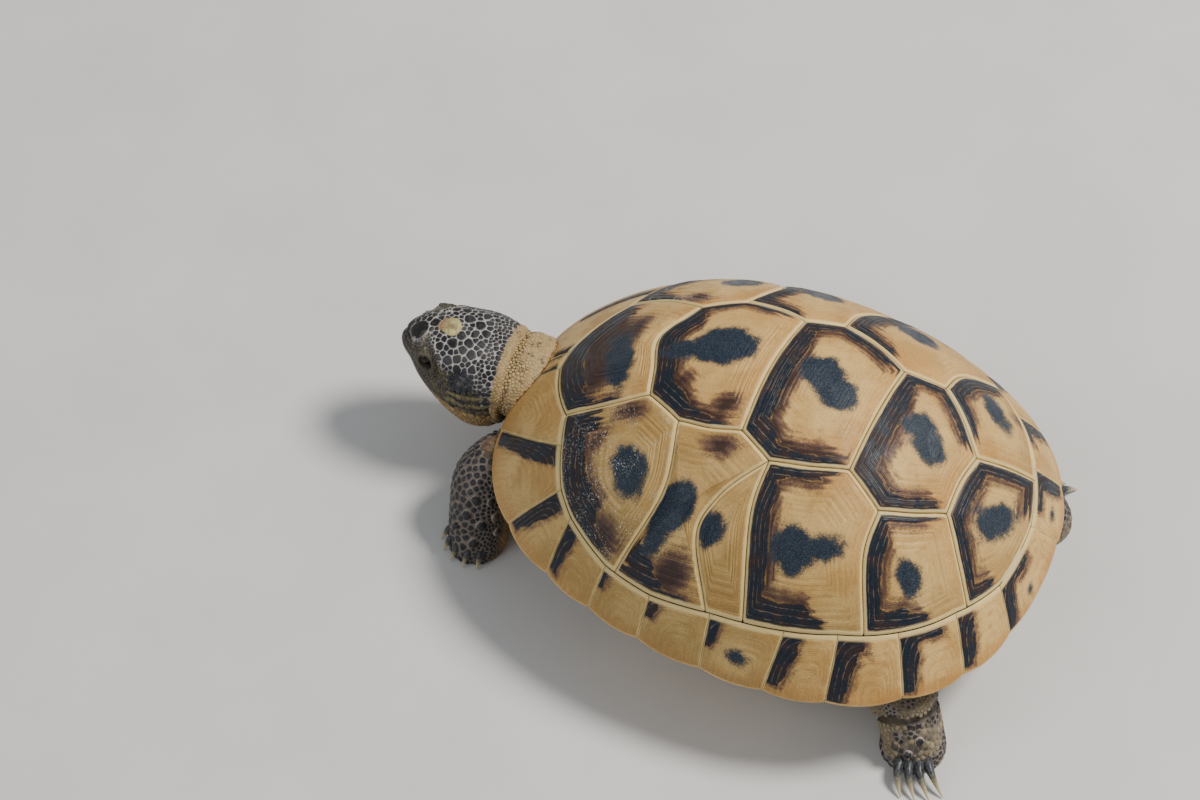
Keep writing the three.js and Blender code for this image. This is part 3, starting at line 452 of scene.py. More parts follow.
MARKS = {
    "vertebral_1": {
        "bands": [(-76, 74, 5.2, 4.2), (74, 114, 1.3, 1.1)],
        "spots": [(3.8, -33.4, 8.4, 3.0, 115)],
        "browns": [(1.5, -38.2, 11.5, 6.6, 100), (-5, -34, 4, 2.6, 80)],
    },
    "vertebral_2": {
        "bands": [(-50, 90, 4.3, 2.3), (-126, -50, 1.8, 1.5), (90, 120, 1.8, 2.5)],
        "spots": [(-1.6, -13.2, 6.9, 5.2, 13), (1.2, -20.5, 4.8, 2.5, 13)],
        "browns": [(11.4, -7.4, 3.6, 2.6, 40), (9.7, -19, 5, 2.8, 50)],
    },
    "vertebral_3": {
        "bands": [(-132, -52, 2.8, 1.9), (-52, 77, 4.5, 2.5), (77, 124, 1.8, 2.8)],
        "spots": [(-2.5, 7.2, 4.8, 4.5, -26), (0.5, 11.8, 4.2, 4.1, -30)],
        "browns": [(14, 13.4, 4.2, 2.4, 8)],
    },
    "vertebral_4": {
        "bands": [(-142, -52, 2.4, 1.7), (-52, 84, 4.1, 2.4), (84, 130, 2.2, 1.8)],
        "spots": [(-3.2, 28.2, 3.4, 3.9, -42), (-0.4, 31.2, 3.4, 3.5, -48)],
        "browns": [(13.2, 30.6, 3.6, 2.0, 20)],
    },
    "vertebral_5": {
        "bands": [(-122, -48, 2.6, 1.5), (-48, 99, 3, 1.8), (99, 119, 1.8, 1.1)],
        "spots": [(0.2, 46.3, 6.5, 2.7, 70)],
        "browns": [(0, 41.8, 5, 1.2, 90)],
    },
    "costal_left_1": {
        "bands": [(-42, 62, 5.0, 1.5), (62, 90, 2.0, 1.0)],
        "spots": [(26, -20.7, 5.1, 3.4, 137)],
        "browns": [(15.7, -25.2, 3.3, 2.2, 0), (35.2, -22.3, 5.0, 2.6, 160),
                   (21.5, -30, 3, 1.6, 60)],
        "dust": 1,
        "olive": 0.55,
    },
    "costal_left_2_front": {
        "bands": [(47, 86, 3.9, 1.2), (86, 130, 1, 0.8)],
        "spots": [(29.4, -9.2, 4.5, 3.9, 60), (33.4, -11.4, 3.2, 2.4, 110)],
        "browns": [(18.6, -4.6, 4.0, 2.2, 10), (38.4, -6.0, 4.4, 3.4, 20)],
        "olive": 0.45,
    },
    "costal_left_2_rear": {
        "bands": [(-104, -92, 0.3, 0.2)],
        "spots": [(31.2, -0.6, 2.8, 2.6, 0)],
        "browns": [(30.6, -1.8, 3.2, 2.2, 0)],
        "olive": 0.4,
    },
    "costal_left_3": {
        "bands": [(-98, -41, 2.2, 2.1), (-41, 63, 4, 2.2), (63, 138, 3.3, 1.8)],
        "spots": [(29.2, 15.6, 4.2, 3.6, 0), (27, 20.8, 4.6, 2.1, 28)],
        "browns": [(38.5, 23.6, 3.6, 2.7, 0)],
        "olive": 0.15,
    },
    "costal_left_4": {
        "bands": [(-97, -29, 1.6, 1.3), (-29, 75, 3.4, 1.8), (75, 122, 2.8, 1.7),
                  (122, 158, 1.8, 1.4)],
        "spots": [(22, 37.5, 2.8, 2.6, 0)],
        "browns": [(14, 33.2, 3.2, 1.7, 35), (27.6, 41.4, 3.2, 2.0, -40)],
    },
    "costal_right_1": {
        "bands": [(-44, 33, 4.4, 1.3), (33, 60, 1.3, 0.8)],
        "spots": [(-26.4, -20.6, 4.9, 3.5, 45)],
        "browns": [(-15.6, -25.6, 3.2, 1.9, 0), (-35.6, -21.6, 4.2, 2.5, 20)],
        "dust": 1,
    },
    "costal_right_2": {
        "bands": [(-88, 62, 3.9, 2), (62, 100, 1.6, 1.4)],
        "spots": [(-29.8, -4.6, 4.8, 3.8, -20)],
        "browns": [(-39.6, 0.6, 3.6, 2.4, 0)],
    },
    "costal_right_3": {
        "bands": [(-70, 46, 4.1, 2.2), (46, 92, 2, 1.6), (-128, -70, 2.4, 1.5)],
        "spots": [(-28.8, 16.8, 4.9, 3.5, -12)],
        "browns": [(-38.4, 22.4, 3.6, 2.4, 0)],
    },
    "costal_right_4": {
        "bands": [(-80, 33, 3.7, 2), (33, 92, 2.3, 1.4)],
        "spots": [(-21.6, 37.2, 4.3, 2.5, -35)],
        "browns": [(-27.4, 41.6, 3.0, 1.8, 40)],
    },
}


UNMARKED = -9.0                     # how deep in a marking a point far from it lies
BLOB_JOIN = 1.4                     # the larger, the less blobs run together where they meet


def blob_field(plan, blobs):
    """How deep in the nearest of the blobs a point lies, in mm; negative outside."""
    field = np.full(len(plan), UNMARKED)
    for x, y, half_long, half_wide, degrees in blobs:
        turn = math.radians(degrees)
        axis = np.array([math.sin(turn), -math.cos(turn)])
        side = np.array([-axis[1], axis[0]])
        away = plan - (x, y)
        size = np.hypot(away @ axis / half_long, away @ side / half_wide)
        depth = (1 - size) * min(half_long, half_wide)
        field = np.logaddexp(field * BLOB_JOIN, depth * BLOB_JOIN) / BLOB_JOIN
    return field


BAND_BLEND = 14.0                   # over how many degrees a band changes its width, to each side


def band_fields(direction, edge, growth, bands):
    """How deep in the dark band and in its brown halo a point lies, in mm; rings end unevenly."""
    rings = np.column_stack([growth, np.zeros((len(edge), 2))])
    fray = 9 * value_noise(rings, 0.5, seed=11) + 5 * value_noise(rings, 1.7, seed=12)
    degrees = np.degrees(direction) + fray * smoothstep(0.5, 1.5, growth)
    covered, width, reach = np.zeros((3, len(edge)))
    for start, end, band_width, halo in bands:
        off = np.abs((degrees - (start + end) / 2 + 180) % 360 - 180)
        share = smoothstep(BAND_BLEND, -BAND_BLEND, off - (end - start) / 2)
        covered += share
        width += share * band_width
        reach += share * (band_width + halo)
    bare = 1.6 * (1 - np.minimum(covered, 1))
    return width - edge - bare, reach - edge - bare


# ---- Vertebral and costal plates ---------------------------------------------------------------

COLUMN_SPACING = 0.5
RING_COUNT = 58
RING_CROWDING = 0.85                # below 1 the rings lie closer together towards the edge
RINGS_PER_MM = 1.0
AREOLA_PART = 0.3                   # how much of the way to the edge the smooth middle takes


def growth_ridges(part, depth_mm, wobble):
    """Height of the growth rings: uneven ridges from the areola out, and none inside it."""
    phase = depth_mm * RINGS_PER_MM + 0.25 * np.sin(depth_mm * 1.9) + 0.18 * wobble
    ridge = np.abs(np.sin(math.pi * phase)) ** 0.7 - 0.6
    fine = np.sin(2 * math.pi * phase * 2.7)
    return (0.13 * ridge + 0.025 * fine) * smoothstep(AREOLA_PART - 0.06, AREOLA_PART + 0.1, part)


SEAM_DEPTH = 0.05                   # how far a plate's edge lies under the dome, in mm
SHOULDER = 1.1                      # how wide the rounded edge is, in mm


def edge_round(edge):
    """From 0 at a plate's edge to 1 where its rounded shoulder ends."""
    return np.sqrt(np.clip(1 - (1 - np.clip(edge / SHOULDER, 0, 1)) ** 2, 0, 1))


# What a plate's hidden underside has for the values that its face is painted with.
UNDERSIDE = {"olive": 0.0, "warm": 0.0, "dust": 0.0, "edge": 2.0}
BARE = -3.0                         # the same for the values of every other marking


def plate_rings(outline, middle, ring_count):
    """A plate's places in plan: rings out to its rim and then its middle, and those behind.

    For the face's places there follow the part of the way out, the distance to the rim, and
    the depth of growth, which runs from 0 at the rim to the plate's usual reach at its middle.
    """
    inward = middle - outline
    reach = np.linalg.norm(inward, axis=1)
    rim = outline + inward / reach[:, None] * SEAM_HALF
    parts = np.linspace(0, 1, ring_count + 1)[1:] ** RING_CROWDING
    plan = (middle + (rim - middle)[None] * parts[:, None, None]).reshape(-1, 2)
    plan = np.vstack([plan, middle])
    under = np.vstack([rim, middle + (rim - middle) * 0.5, middle])
    part = np.concatenate([np.repeat(parts, len(outline)), [0]])
    return plan, under, part, outline_distance(plan, rim), (1 - part) * np.median(reach)


def add_plate(name, shown, hidden, ring_count, paint, material, side=1):
    """The piece for a plate from its shown and hidden places; side -1 mirrors it to the right."""
    points = np.vstack([shown, hidden]) * (side, 1, 1)
    quads, triangles = outward(points, *plate_faces(ring_count, len(shown) // ring_count))
    values = {key: np.concatenate([data, np.full(len(hidden), UNDERSIDE.get(key, BARE))])
              for key, data in paint.items()}
    add_piece(f"{name}_plate", points, quads, triangles, values, material, [name],
              SHARP_EDGE)


def plate_paint(name, plan, height, part, edge, growth, wobble):
    """The values that the horn's material makes a large plate's colours from."""
    marks = MARKS[name]
    x, y = (plan - AREOLAS[name]).T
    flat = np.column_stack([plan, np.zeros(len(plan))])
    ragged = 0.45 * value_noise(flat, 2.2, seed=5) + 0.25 * value_noise(flat, 0.9, seed=6)
    band, halo = band_fields(np.arctan2(x, -y), edge, growth, marks["bands"])
    olive = 0.6 * smoothstep(52, 30, height) + marks.get("olive", 0)
    return {
        "band": band + 0.6 * ragged,
        "spot": blob_field(plan, marks["spots"]) + 1.3 * ragged,
        "brown": np.maximum(halo, blob_field(plan, marks["browns"])) + ragged,
        "edge": edge,
        "growth": growth + 0.25 * wobble,
        "olive": olive * (0.75 + 0.4 * value_noise(flat, 9, seed=8)),
        "warm": smoothstep(0.5, 0.9, part) * (0.5 + 0.5 * value_noise(flat, 8, seed=9)),
        "dust": np.full(len(plan), float(marks.get("dust", 0))),
    }


def plate_piece(name, material):
    """A vertebral or costal plate: rings from its areola out to its edge, closed underneath."""
    outline = even_loop(OUTLINES[name], COLUMN_SPACING)
    plan, under, part, edge, growth = plate_rings(outline, np.array(AREOLAS[name]), RING_COUNT)
    flat = np.column_stack([plan, np.zeros(len(plan))])
    wobble = value_noise(flat, 7, seed=len(name))
    areola_dip = 0.1 * smoothstep(AREOLA_PART + 0.05, 0.1, part)
    body = PLATE_BULGE * (1 - 0.5 * part**2.2) - areola_dip
    lift = body + growth_ridges(part, growth, wobble) + 0.08 * value_noise(flat, 5, seed=3)
    lift = -SEAM_DEPTH + (lift + SEAM_DEPTH) * edge_round(edge)
    top = dome_point(plan[:, 0], plan[:, 1], lift)
    bottom = dome_point(under[:, 0], under[:, 1], np.full(len(under), -PLATE_THICKNESS))
    paint = plate_paint(name, plan, top[:, 2], part, edge, growth, wobble)
    add_plate(name, top, bottom, RING_COUNT, paint, material)


# ---- Marginal plates ---------------------------------------------------------------------------
# A bar runs down a plate's front seam: its width, how far down it goes as a part of the plate,
# its brown halo's width, and how far along the top it turns. A spot is a part of the way from
# the front seam and from the top, then half its length and half its width, in mm.

BRIDGE_FOOT = 0.8
BRIDGE_FOOT_HEIGHT = 11.1
BRIDGE_FROM = 60
BRIDGE_TO = 116

RIM_BARS = {
    "nuchal": (0.9, 1, 0.3, 0), "supracaudal": (3.9, 1, 1.4, 0.6),
    "marginal_left_2": (4.6, 0.95, 0.4, 0), "marginal_left_3": (3.9, 0.95, 0.7, 0),
    "marginal_left_4": (3.3, 0.92, 0.8, 0), "marginal_left_5": (1.7, 0.5, 0.8, 0),
    "marginal_left_6": (2.6, 0.5, 0.9, 0), "marginal_left_7": (2.5, 0.62, 0.8, 0),
    "marginal_left_8": (4.1, 0.9, 1, 0), "marginal_left_9": (4.9, 1, 1.2, 0.45),
    "marginal_left_10": (3.8, 0.95, 1.1, 0.7), "marginal_left_11": (3.9, 0.95, 0.9, 0),
    "marginal_right_1": (1.6, 0.8, 0.4, 0), "marginal_right_2": (3.7, 0.8, 0.7, 0),
    "marginal_right_3": (3.8, 0.9, 0.7, 0), "marginal_right_4": (2.9, 0.7, 0.8, 0),
    "marginal_right_5": (2.1, 0.5, 0.8, 0), "marginal_right_6": (2.5, 0.5, 0.9, 0),
    "marginal_right_7": (3, 0.6, 0.8, 0), "marginal_right_8": (4, 0.8, 0.9, 0.3),
    "marginal_right_9": (4.6, 0.9, 1.1, 0), "marginal_right_10": (4.1, 0.9, 1, 0.5),
    "marginal_right_11": (4.1, 0.9, 0.9, 0.7),
}
RIM_SPOTS = {
    "marginal_left_7": (0.5, 0.62, 2.6, 1.5), "supracaudal": (0.42, 0.8, 1.1, 0.9),
    "marginal_right_7": (0.55, 0.6, 2.1, 1.3), "marginal_right_11": (0.62, 0.62, 1.5, 1.1),
}

RIM_COLUMNS = 40
RIM_ROWS = 56
RIM_AREOLA = (0.66, 0.98)           # the growth centre: part of the way along and down


def bridge_share(degrees):
    rise = smoothstep(BRIDGE_FROM - 10, BRIDGE_FROM + 4, degrees)
    return rise * (1 - smoothstep(BRIDGE_TO - 6, BRIDGE_TO + 9, degrees))


def folded(degrees):
    """The same direction on the animal's left side, from 0 at the front to 180."""
    return np.abs((degrees + 180) % 360 - 180)


class RimFace:
    """The outer face of a plate of the rim: rows of places from its top seam down to its lip.

    share is how far along a column lies, from the front seam to the rear one, and down how far
    down a row lies. The gaps, depth and edge are distances over the face, in mm.
    """

    def __init__(self, rim_span, top_span, flare):
        share = np.linspace(0, 1, RIM_COLUMNS)
        slit = math.degrees(SEAM_HALF / SHELL_HALF_WIDTH) * 1.15 * (1 - 2 * share)
        self.share = share
        self.rim_degrees = lerp(*rim_span, share) + slit
        self.top_degrees = lerp(*top_span, share) + slit
        self.top = margin_fraction(folded(self.top_degrees)) + 0.0008
        swell = flare * np.sin(math.pi * share) ** 0.7
        self.rim = rim_fraction(np.radians(self.rim_degrees)) + swell
        self.lip = dome_height(np.radians(self.rim_degrees), self.rim)
        self.bridge = bridge_share(folded(self.rim_degrees))

        self.down = (np.linspace(0, 1, RIM_ROWS) ** 0.9)[:, None]
        fraction = lerp(self.top, self.rim, self.down)
        self.degrees = lerp(self.top_degrees, self.rim_degrees, self.down)
        plan = shell_plan(self.degrees, fraction)
        height = dome_height(np.radians(self.degrees), fraction)
        self.surface = np.concatenate([plan, height[..., None]], -1)
        across_steps = np.linalg.norm(np.diff(self.surface, axis=1), axis=2)
        down_steps = np.linalg.norm(np.diff(self.surface, axis=0), axis=2)
        self.across = across_steps.sum(1)[:, None]
        self.depth = np.concatenate([np.zeros((1, RIM_COLUMNS)), down_steps.cumsum(0)])
        self.tall = self.depth[-1:]
        self.front_gap = share * self.across
        self.side_gap = np.minimum(self.front_gap, (1 - share) * self.across)
        self.edge = np.minimum(self.side_gap, self.depth)
        along, low = RIM_AREOLA
        off = np.where(share < along, (along - share) / along, (share - along) / (1 - along))
        self.out = (np.abs(off) ** 4 + (np.abs(low - self.down) / low) ** 4) ** 0.25
        self.growth = (1 - self.out) * 0.55 * self.tall

    def noise(self, size, seed):
        return value_noise(self.surface.reshape(-1, 3), size, seed).reshape(self.degrees.shape)

    def raised(self, seed):
        """The rows of places with the plate's bulge, growth ridges and rounded edges."""
        down = self.down
        ridges = growth_ridges(np.maximum(self.out, AREOLA_PART), self.growth, self.noise(6, seed))
        bulge = 0.6 * PLATE_BULGE * np.sin(math.pi * np.clip(down * 0.8 + 0.1, 0, 1))
        nose = -0.3 * smoothstep(0.9, 1.0, down) ** 2
        seam_round = edge_round(self.side_gap) * edge_round(self.depth)
        lift = -SEAM_DEPTH + (bulge + SEAM_DEPTH + ridges + nose) * seam_round
        return self.surface + lift[..., None] * UP

    def inner_rows(self):
        """Rows from the lip round the underside, or down the bridge, and up inside the shell."""
        rim, lip, bridge = self.rim, self.lip, self.bridge
        foot = lerp(rim - 0.045, BRIDGE_FOOT, bridge)
        foot_height = lerp(lip - 1, BRIDGE_FOOT_HEIGHT, bridge)
        stations = [
            (rim + 0.002, lip - 0.6),
            (lerp(rim - 0.004, rim - 0.02, bridge), lip - lerp(1.15, 1.95, bridge)),
            (lerp(rim - 0.02, rim - 0.07, bridge), lip - lerp(1.45, 4.45, bridge)),
            (foot, foot_height),
            (foot - lerp(0.004, 0.03, bridge), foot_height + lerp(1.7, 0.9, bridge)),
            (lerp(rim - 0.055, rim - 0.09, bridge), lerp(lip + 1.4, lip - 1, bridge)),
            (lerp(self.top, rim, 0.55) - 0.008, None),
            (self.top + 0.003, None),
        ]
        for fraction, height in stations:
            part = np.clip((fraction - self.top) / (rim - self.top), 0, 1)
            degrees = lerp(self.top_degrees, self.rim_degrees, part)
            if height is None:
                height = dome_height(np.radians(degrees), fraction) - 1.7 * PLATE_THICKNESS
            yield np.concatenate([shell_plan(degrees, fraction), height[:, None]], -1)

    def marks(self, name):
        """How deep in its bar, in the bar's brown halo and in its spot each place lies, in mm."""
        band, brown, spot = (np.full(self.degrees.shape, UNMARKED) for _ in range(3))
        if name in RIM_BARS:
            width, reach_down, halo, turn = RIM_BARS[name]
            gap = self.side_gap if name == "nuchal" else self.front_gap
            below = (reach_down - self.down) * self.tall * 2
            taper = width * np.clip(1.25 - 0.6 * self.down / reach_down, 0, 1)
            band = np.minimum(taper - gap, below)
            brown = np.minimum(taper - gap, below) + halo
            if turn:
                along = (turn - self.share) * self.across
                top_band = np.minimum(0.75 * width - self.depth, along)
                band = np.maximum(band, top_band)
                brown = np.maximum(brown, top_band + halo)
        if name in RIM_SPOTS:
            at_share, at_down, half_long, half_wide = RIM_SPOTS[name]
            size = np.hypot((self.share - at_share) * self.across / half_long,
                            (self.down - at_down) * self.tall / half_wide)
            spot = (1 - size) * half_wide
        return band, brown, spot

    def paint(self, name):
        """The values for the horn's material over the face, each with its value elsewhere."""
        band, brown, spot = self.marks(name)
        ragged = 0.4 * self.noise(1.8, 15) + 0.2 * self.noise(0.8, 16)
        turned = folded(self.degrees)
        olive = 0.62 * smoothstep(0, 80, turned) * smoothstep(125, 100, turned)
        return {
            "band": (band + ragged, BARE), "spot": (spot + ragged, BARE),
            "brown": (brown + 1.2 * ragged, BARE), "edge": (self.edge + 0.4, 2.0),
            "growth": (self.growth, 3.0), "olive": (olive, 0.0),
            "warm": (smoothstep(0.75, 1.0, self.down), 0.4),
            "cream": (smoothstep(1.5, 0.9, self.depth), 0.2), "lines": (1.0, 1.0),
        }


INNER_STEPS = 5                     # how many rows are laid for each of the inner ones


def rim_plate(name, rim_span, top_span, flare, mirror, material):
    """A marginal, the nuchal or the supracaudal: a closed band of rows, capped at both seams."""
    face = RimFace(rim_span, top_span, flare)
    outer = face.raised(len(name))
    rows = [outer[-1]]
    for row in face.inner_rows():
        start = rows[-1]
        rows += [lerp(start, row, (k + 1) / INNER_STEPS) for k in range(INNER_STEPS)]
    points = np.concatenate([outer, np.stack(rows[1:])])
    row_count = len(points)
    points = points.reshape(-1, 3)

    index = np.arange(row_count * RIM_COLUMNS).reshape(row_count, RIM_COLUMNS)
    after = np.roll(index, -1, axis=0)
    quads = np.stack([index[:, :-1], index[:, 1:], after[:, 1:], after[:, :-1]], -1).reshape(-1, 4)
    first, last = index[:, 0], index[:, -1]
    middles = [points[ring[[RIM_ROWS // 2, -3]]].mean(0) for ring in (first, last)]
    caps = [np.stack([first, after[:, 0], np.full(row_count, len(points))], -1),
            np.stack([np.full(row_count, len(points) + 1), after[:, -1], last], -1)]
    points = np.vstack([points, middles])
    values = {}
    for key, (shown, hidden) in face.paint(name).items():
        values[key] = np.full((row_count, RIM_COLUMNS), hidden)
        values[key][:RIM_ROWS] = shown
        values[key] = np.concatenate([values[key].ravel(), [BARE, BARE]])
    if mirror:
        points = points * (-1, 1, 1)
    quads, triangles = outward(points, quads, np.vstack(caps))
    add_piece(f"{name}_plate", points, quads, triangles, values, material,
              [name], SHARP_EDGE)


# ---- Materials ---------------------------------------------------------------------------------


class Value:
    """A number or a colour that a shader node gives, for sums with others or plain numbers."""

    def __init__(self, nodes, socket):
        self.nodes, self.socket = nodes, socket

    def __add__(self, other):
        return self.nodes.math("ADD", self, other)

    def __sub__(self, other):
        return self.nodes.math("SUBTRACT", self, other)

    def __mul__(self, other):
        return self.nodes.math("MULTIPLY", self, other)


class Nodes:
    """Short names for the shader nodes of one material."""

    def __init__(self, name, roughness, specular=0.3):
        self.material = bpy.data.materials.new(name)
        self.material.use_nodes = True
        self.tree = self.material.node_tree
        self.shader = self.tree.nodes["Principled BSDF"]
        self.shader.inputs["Roughness"].default_value = roughness
        self.shader.inputs["Specular IOR Level"].default_value = specular
        self.place = self.node("TexCoord", {}, "Object")

    def link(self, value, socket):
        if isinstance(value, Value):
            self.tree.links.new(value.socket, socket)
        else:
            socket.default_value = value

    def node(self, kind, inputs, output, **settings):
        """What a new node gives, once its settings are made and its inputs set or linked."""
        node = self.tree.nodes.new("ShaderNode" + kind)
        for key, setting in settings.items():
            setattr(node, key, setting)
        for key, value in inputs.items():
            self.link(value, node.inputs[key])
        return Value(self, node.outputs[output])

    def value(self, name):
        return self.node("Attribute", {}, "Fac", attribute_name=name)

    def colour(self, name):
        return self.node("Attribute", {}, "Color", attribute_name=name)

    def noise(self, size_mm, detail=3.0, roughness=0.55, distortion=0.0):
        return self.node("TexNoise", {
            "Vector": self.place, "Scale": 1 / (size_mm * MM), "Detail": detail,
            "Roughness": roughness, "Distortion": distortion}, "Fac")

    def math(self, operation, a, b=0.0):
        return self.node("Math", {0: a, 1: b}, 0, operation=operation)

    def waves(self, value, length):
        return self.math("SINE", value * (2 * math.pi / length))

    def ease(self, value, low, high, to_low=0.0, to_high=1.0):
        return self.node("MapRange", {
            "Value": value, "From Min": low, "From Max": high, "To Min": to_low,
            "To Max": to_high}, "Result", interpolation_type="SMOOTHSTEP")

    def mix(self, part, a, b):
        a, b = (colour if isinstance(colour, Value) else (*colour, 1) for colour in (a, b))
        return self.node("Mix", {0: part, 6: a, 7: b}, 2, data_type="RGBA")

    def finish(self, colour, roughness=None, heights=()):
        """The material with its colour and roughness, and a bump for each of the heights."""
        self.link(colour, self.shader.inputs["Base Color"])
        if roughness is not None:
            self.link(roughness, self.shader.inputs["Roughness"])
        bumps = {}
        for height, distance_mm, strength in heights:
            bumps["Normal"] = self.node("Bump", {
                "Height": height, "Distance": distance_mm * MM, "Strength": strength,
                **bumps}, "Normal")
        for key, bump in bumps.items():
            self.link(bump, self.shader.inputs[key])
        return self.material


TAN = (0.46, 0.265, 0.078)
PALE_TAN = (0.63, 0.405, 0.145)
ORANGE_TAN = (0.52, 0.235, 0.050)
OLIVE_TAN = (0.22, 0.155, 0.048)
CREAM = (0.74, 0.56, 0.245)
BLUE_BLACK = (0.008, 0.012, 0.020)
SPOT_SLATE = (0.045, 0.070, 0.100)
DARK_BROWN = (0.026, 0.013, 0.012)
HALO_BROWN = (0.085, 0.042, 0.033)
AMBER = (0.38, 0.190, 0.050)
LINE_BROWN = (0.20, 0.105, 0.035)
RING_FAWN = (0.25, 0.20, 0.145)
BAND_SHEEN = (0.22, 0.26, 0.30)
DUST_GREY = (0.62, 0.60, 0.55)
SEAM_DIRT = (0.13, 0.08, 0.035)
PLASTRON_TAN = (0.60, 0.42, 0.19)
PLASTRON_PALE = (0.66, 0.50, 0.27)
PLASTRON_LINE = (0.34, 0.21, 0.09)
PLASTRON_DARK = (0.035, 0.026, 0.022)


def horn_material():
    """Tan horn with growth lines, under its brown halos, dark bands, spots, dust and seams."""
    n = Nodes("horn", 0.45, 0.25)
    band, spot, brown = n.value("band"), n.value("spot"), n.value("brown")
    edge, growth = n.value("edge"), n.value("growth")
    jitter = n.noise(0.5, 4, 0.7) - 0.5
    grain = n.noise(0.22, 3, 0.6)
    drift = n.noise(3.2, 3, 0.6)

    base = n.mix(n.ease(n.noise(9, 3, 0.5), 0.35, 0.65), TAN, PALE_TAN)
    base = n.mix(n.value("warm") * 0.65, base, ORANGE_TAN)
    base = n.mix(n.ease(n.noise(2.4, 4, 0.65), 0.50, 0.72, 0, 0.55), base, AMBER)
    base = n.mix(n.value("olive") * 0.85, base, OLIVE_TAN)
    base = n.mix(n.ease(spot - drift, -3.4, -1.1) * 0.45, base, PALE_TAN)

    swayed = growth + drift * 0.5 + jitter * 0.16
    lines = n.waves(swayed, 1.15) * 0.5 + n.waves(swayed, 0.27) * 0.4
    shown = lines * n.ease(drift, 0.3, 0.7, 0.4, 1.0)
    lined = n.math("MAXIMUM", n.ease(edge, 5.0, 1.2, 0.25, 1.0), n.value("lines"))
    base = n.mix(n.ease(shown, 0.1, 0.9, 0, 0.38) * lined, base, LINE_BROWN)
    base = n.mix(n.ease(shown, -0.3, -0.9, 0, 0.32) * lined, base, CREAM)
    base = n.mix(n.ease(grain, 0.52, 0.3, 0, 0.5), base, LINE_BROWN)
    base = n.mix(n.ease(grain, 0.55, 0.72, 0, 0.35), base, CREAM)

    brown_at = brown + jitter * 2.6 + shown * 0.35
    halo = n.ease(brown_at, -0.9, 0.9) * n.ease(shown, -0.8, 0.1, 0.72, 0.95)
    colour = n.mix(halo, base, HALO_BROWN)
    colour = n.mix(n.ease(brown_at, 0.6, 2.0, 0, 0.85), colour, DARK_BROWN)

    band_at = band + jitter * 0.9
    pale_line = n.ease(band_at, -0.42, -0.24) * n.ease(band_at, -0.02, -0.2)
    pale_line = pale_line * n.ease(drift, 0.38, 0.62, 0.0, 0.55)
    colour = n.mix(pale_line * n.ease(brown, 0.1, 0.6, 0, 0.8), colour, TAN)
    dark = n.mix(n.ease(drift, 0.42, 0.66), BLUE_BLACK, DARK_BROWN)
    ring_line = n.ease(n.waves(swayed, 1.05), 0.80, 0.99)
    ring_line = ring_line * n.ease(n.noise(1.6, 3), 0.42, 0.62, 0.05, 0.5)
    dark = n.mix(ring_line, dark, RING_FAWN)
    dark = n.mix(n.ease(grain, 0.56, 0.72, 0, 0.16), dark, BAND_SHEEN)
    colour = n.mix(n.ease(band_at, -0.18, 0.15), colour, dark)

    spot_at = spot + (grain - 0.5) * 3.2 + jitter * 1.8
    spot_dark = n.mix(n.ease(grain, 0.42, 0.66, 0, 0.8), BLUE_BLACK, SPOT_SLATE)
    colour = n.mix(n.ease(spot_at, -0.5, 0.7), colour, spot_dark)

    dusty = n.value("dust") * n.ease(n.noise(4.5, 2), 0.42, 0.6)
    flecks = n.ease(n.noise(0.3, 2, 0.4), 0.60, 0.66) * dusty
    colour = n.mix(flecks * 0.6, colour, DUST_GREY)
    seam = n.ease(edge + (drift - 0.5) * 0.35, 0.74, 0.40)
    colour = n.mix(n.math("MAXIMUM", seam, n.value("cream")) * 0.82, colour, CREAM)
    dirt = n.ease(edge, 0.10, 0.02) * n.ease(drift, 0.35, 0.6, 0.2, 0.7)
    colour = n.mix(dirt, colour, SEAM_DIRT)

    rough = n.ease(drift + jitter * 0.5, 0.3, 0.75, 0.38, 0.58)
    heights = [(shown + n.noise(0.8, 3) * 1.2, 0.06, 0.6), (grain, 0.06, 0.45)]
    return n.finish(colour, rough, heights)


def plastron_material():
    n = Nodes("plastron_horn", 0.5)
    drift = n.noise(3.5, 3, 0.6)
    lines = n.waves(n.value("growth") + drift, 1.1)
    base = n.mix(n.ease(n.noise(8, 3), 0.35, 0.65), PLASTRON_TAN, PLASTRON_PALE)
    base = n.mix(n.ease(lines, 0.2, 1.0, 0, 0.3), base, PLASTRON_LINE)
    base = n.mix(n.ease(n.value("edge"), 0.7, 0.2, 0, 0.6), base, CREAM)
    dark = n.ease(n.value("spot") + (n.noise(1.2, 4, 0.7) - 0.5) * 3.5, -0.3, 0.6)
    colour = n.mix(dark * 0.92, base, PLASTRON_DARK)
    heights = [(lines + n.noise(0.7, 3), 0.05, 0.5)]
    return n.finish(colour, n.ease(drift, 0.3, 0.7, 0.42, 0.58), heights)


# ---- Plastron ----------------------------------------------------------------------------------

PLASTRON_OUTLINE = np.array([
    (0, -49), (5, -49.5), (9, -46.5), (14.5, -42), (18.5, -36.5), (22, -29), (25, -22.5),
    (33.6, -18), (36.4, -8), (37.3, 3), (36.4, 14), (34, 20), (25.5, 24.5), (20.5, 30),
    (16, 37.5), (11, 43.2), (6.5, 45.5), (3.5, 44), (0, 41.5),
])
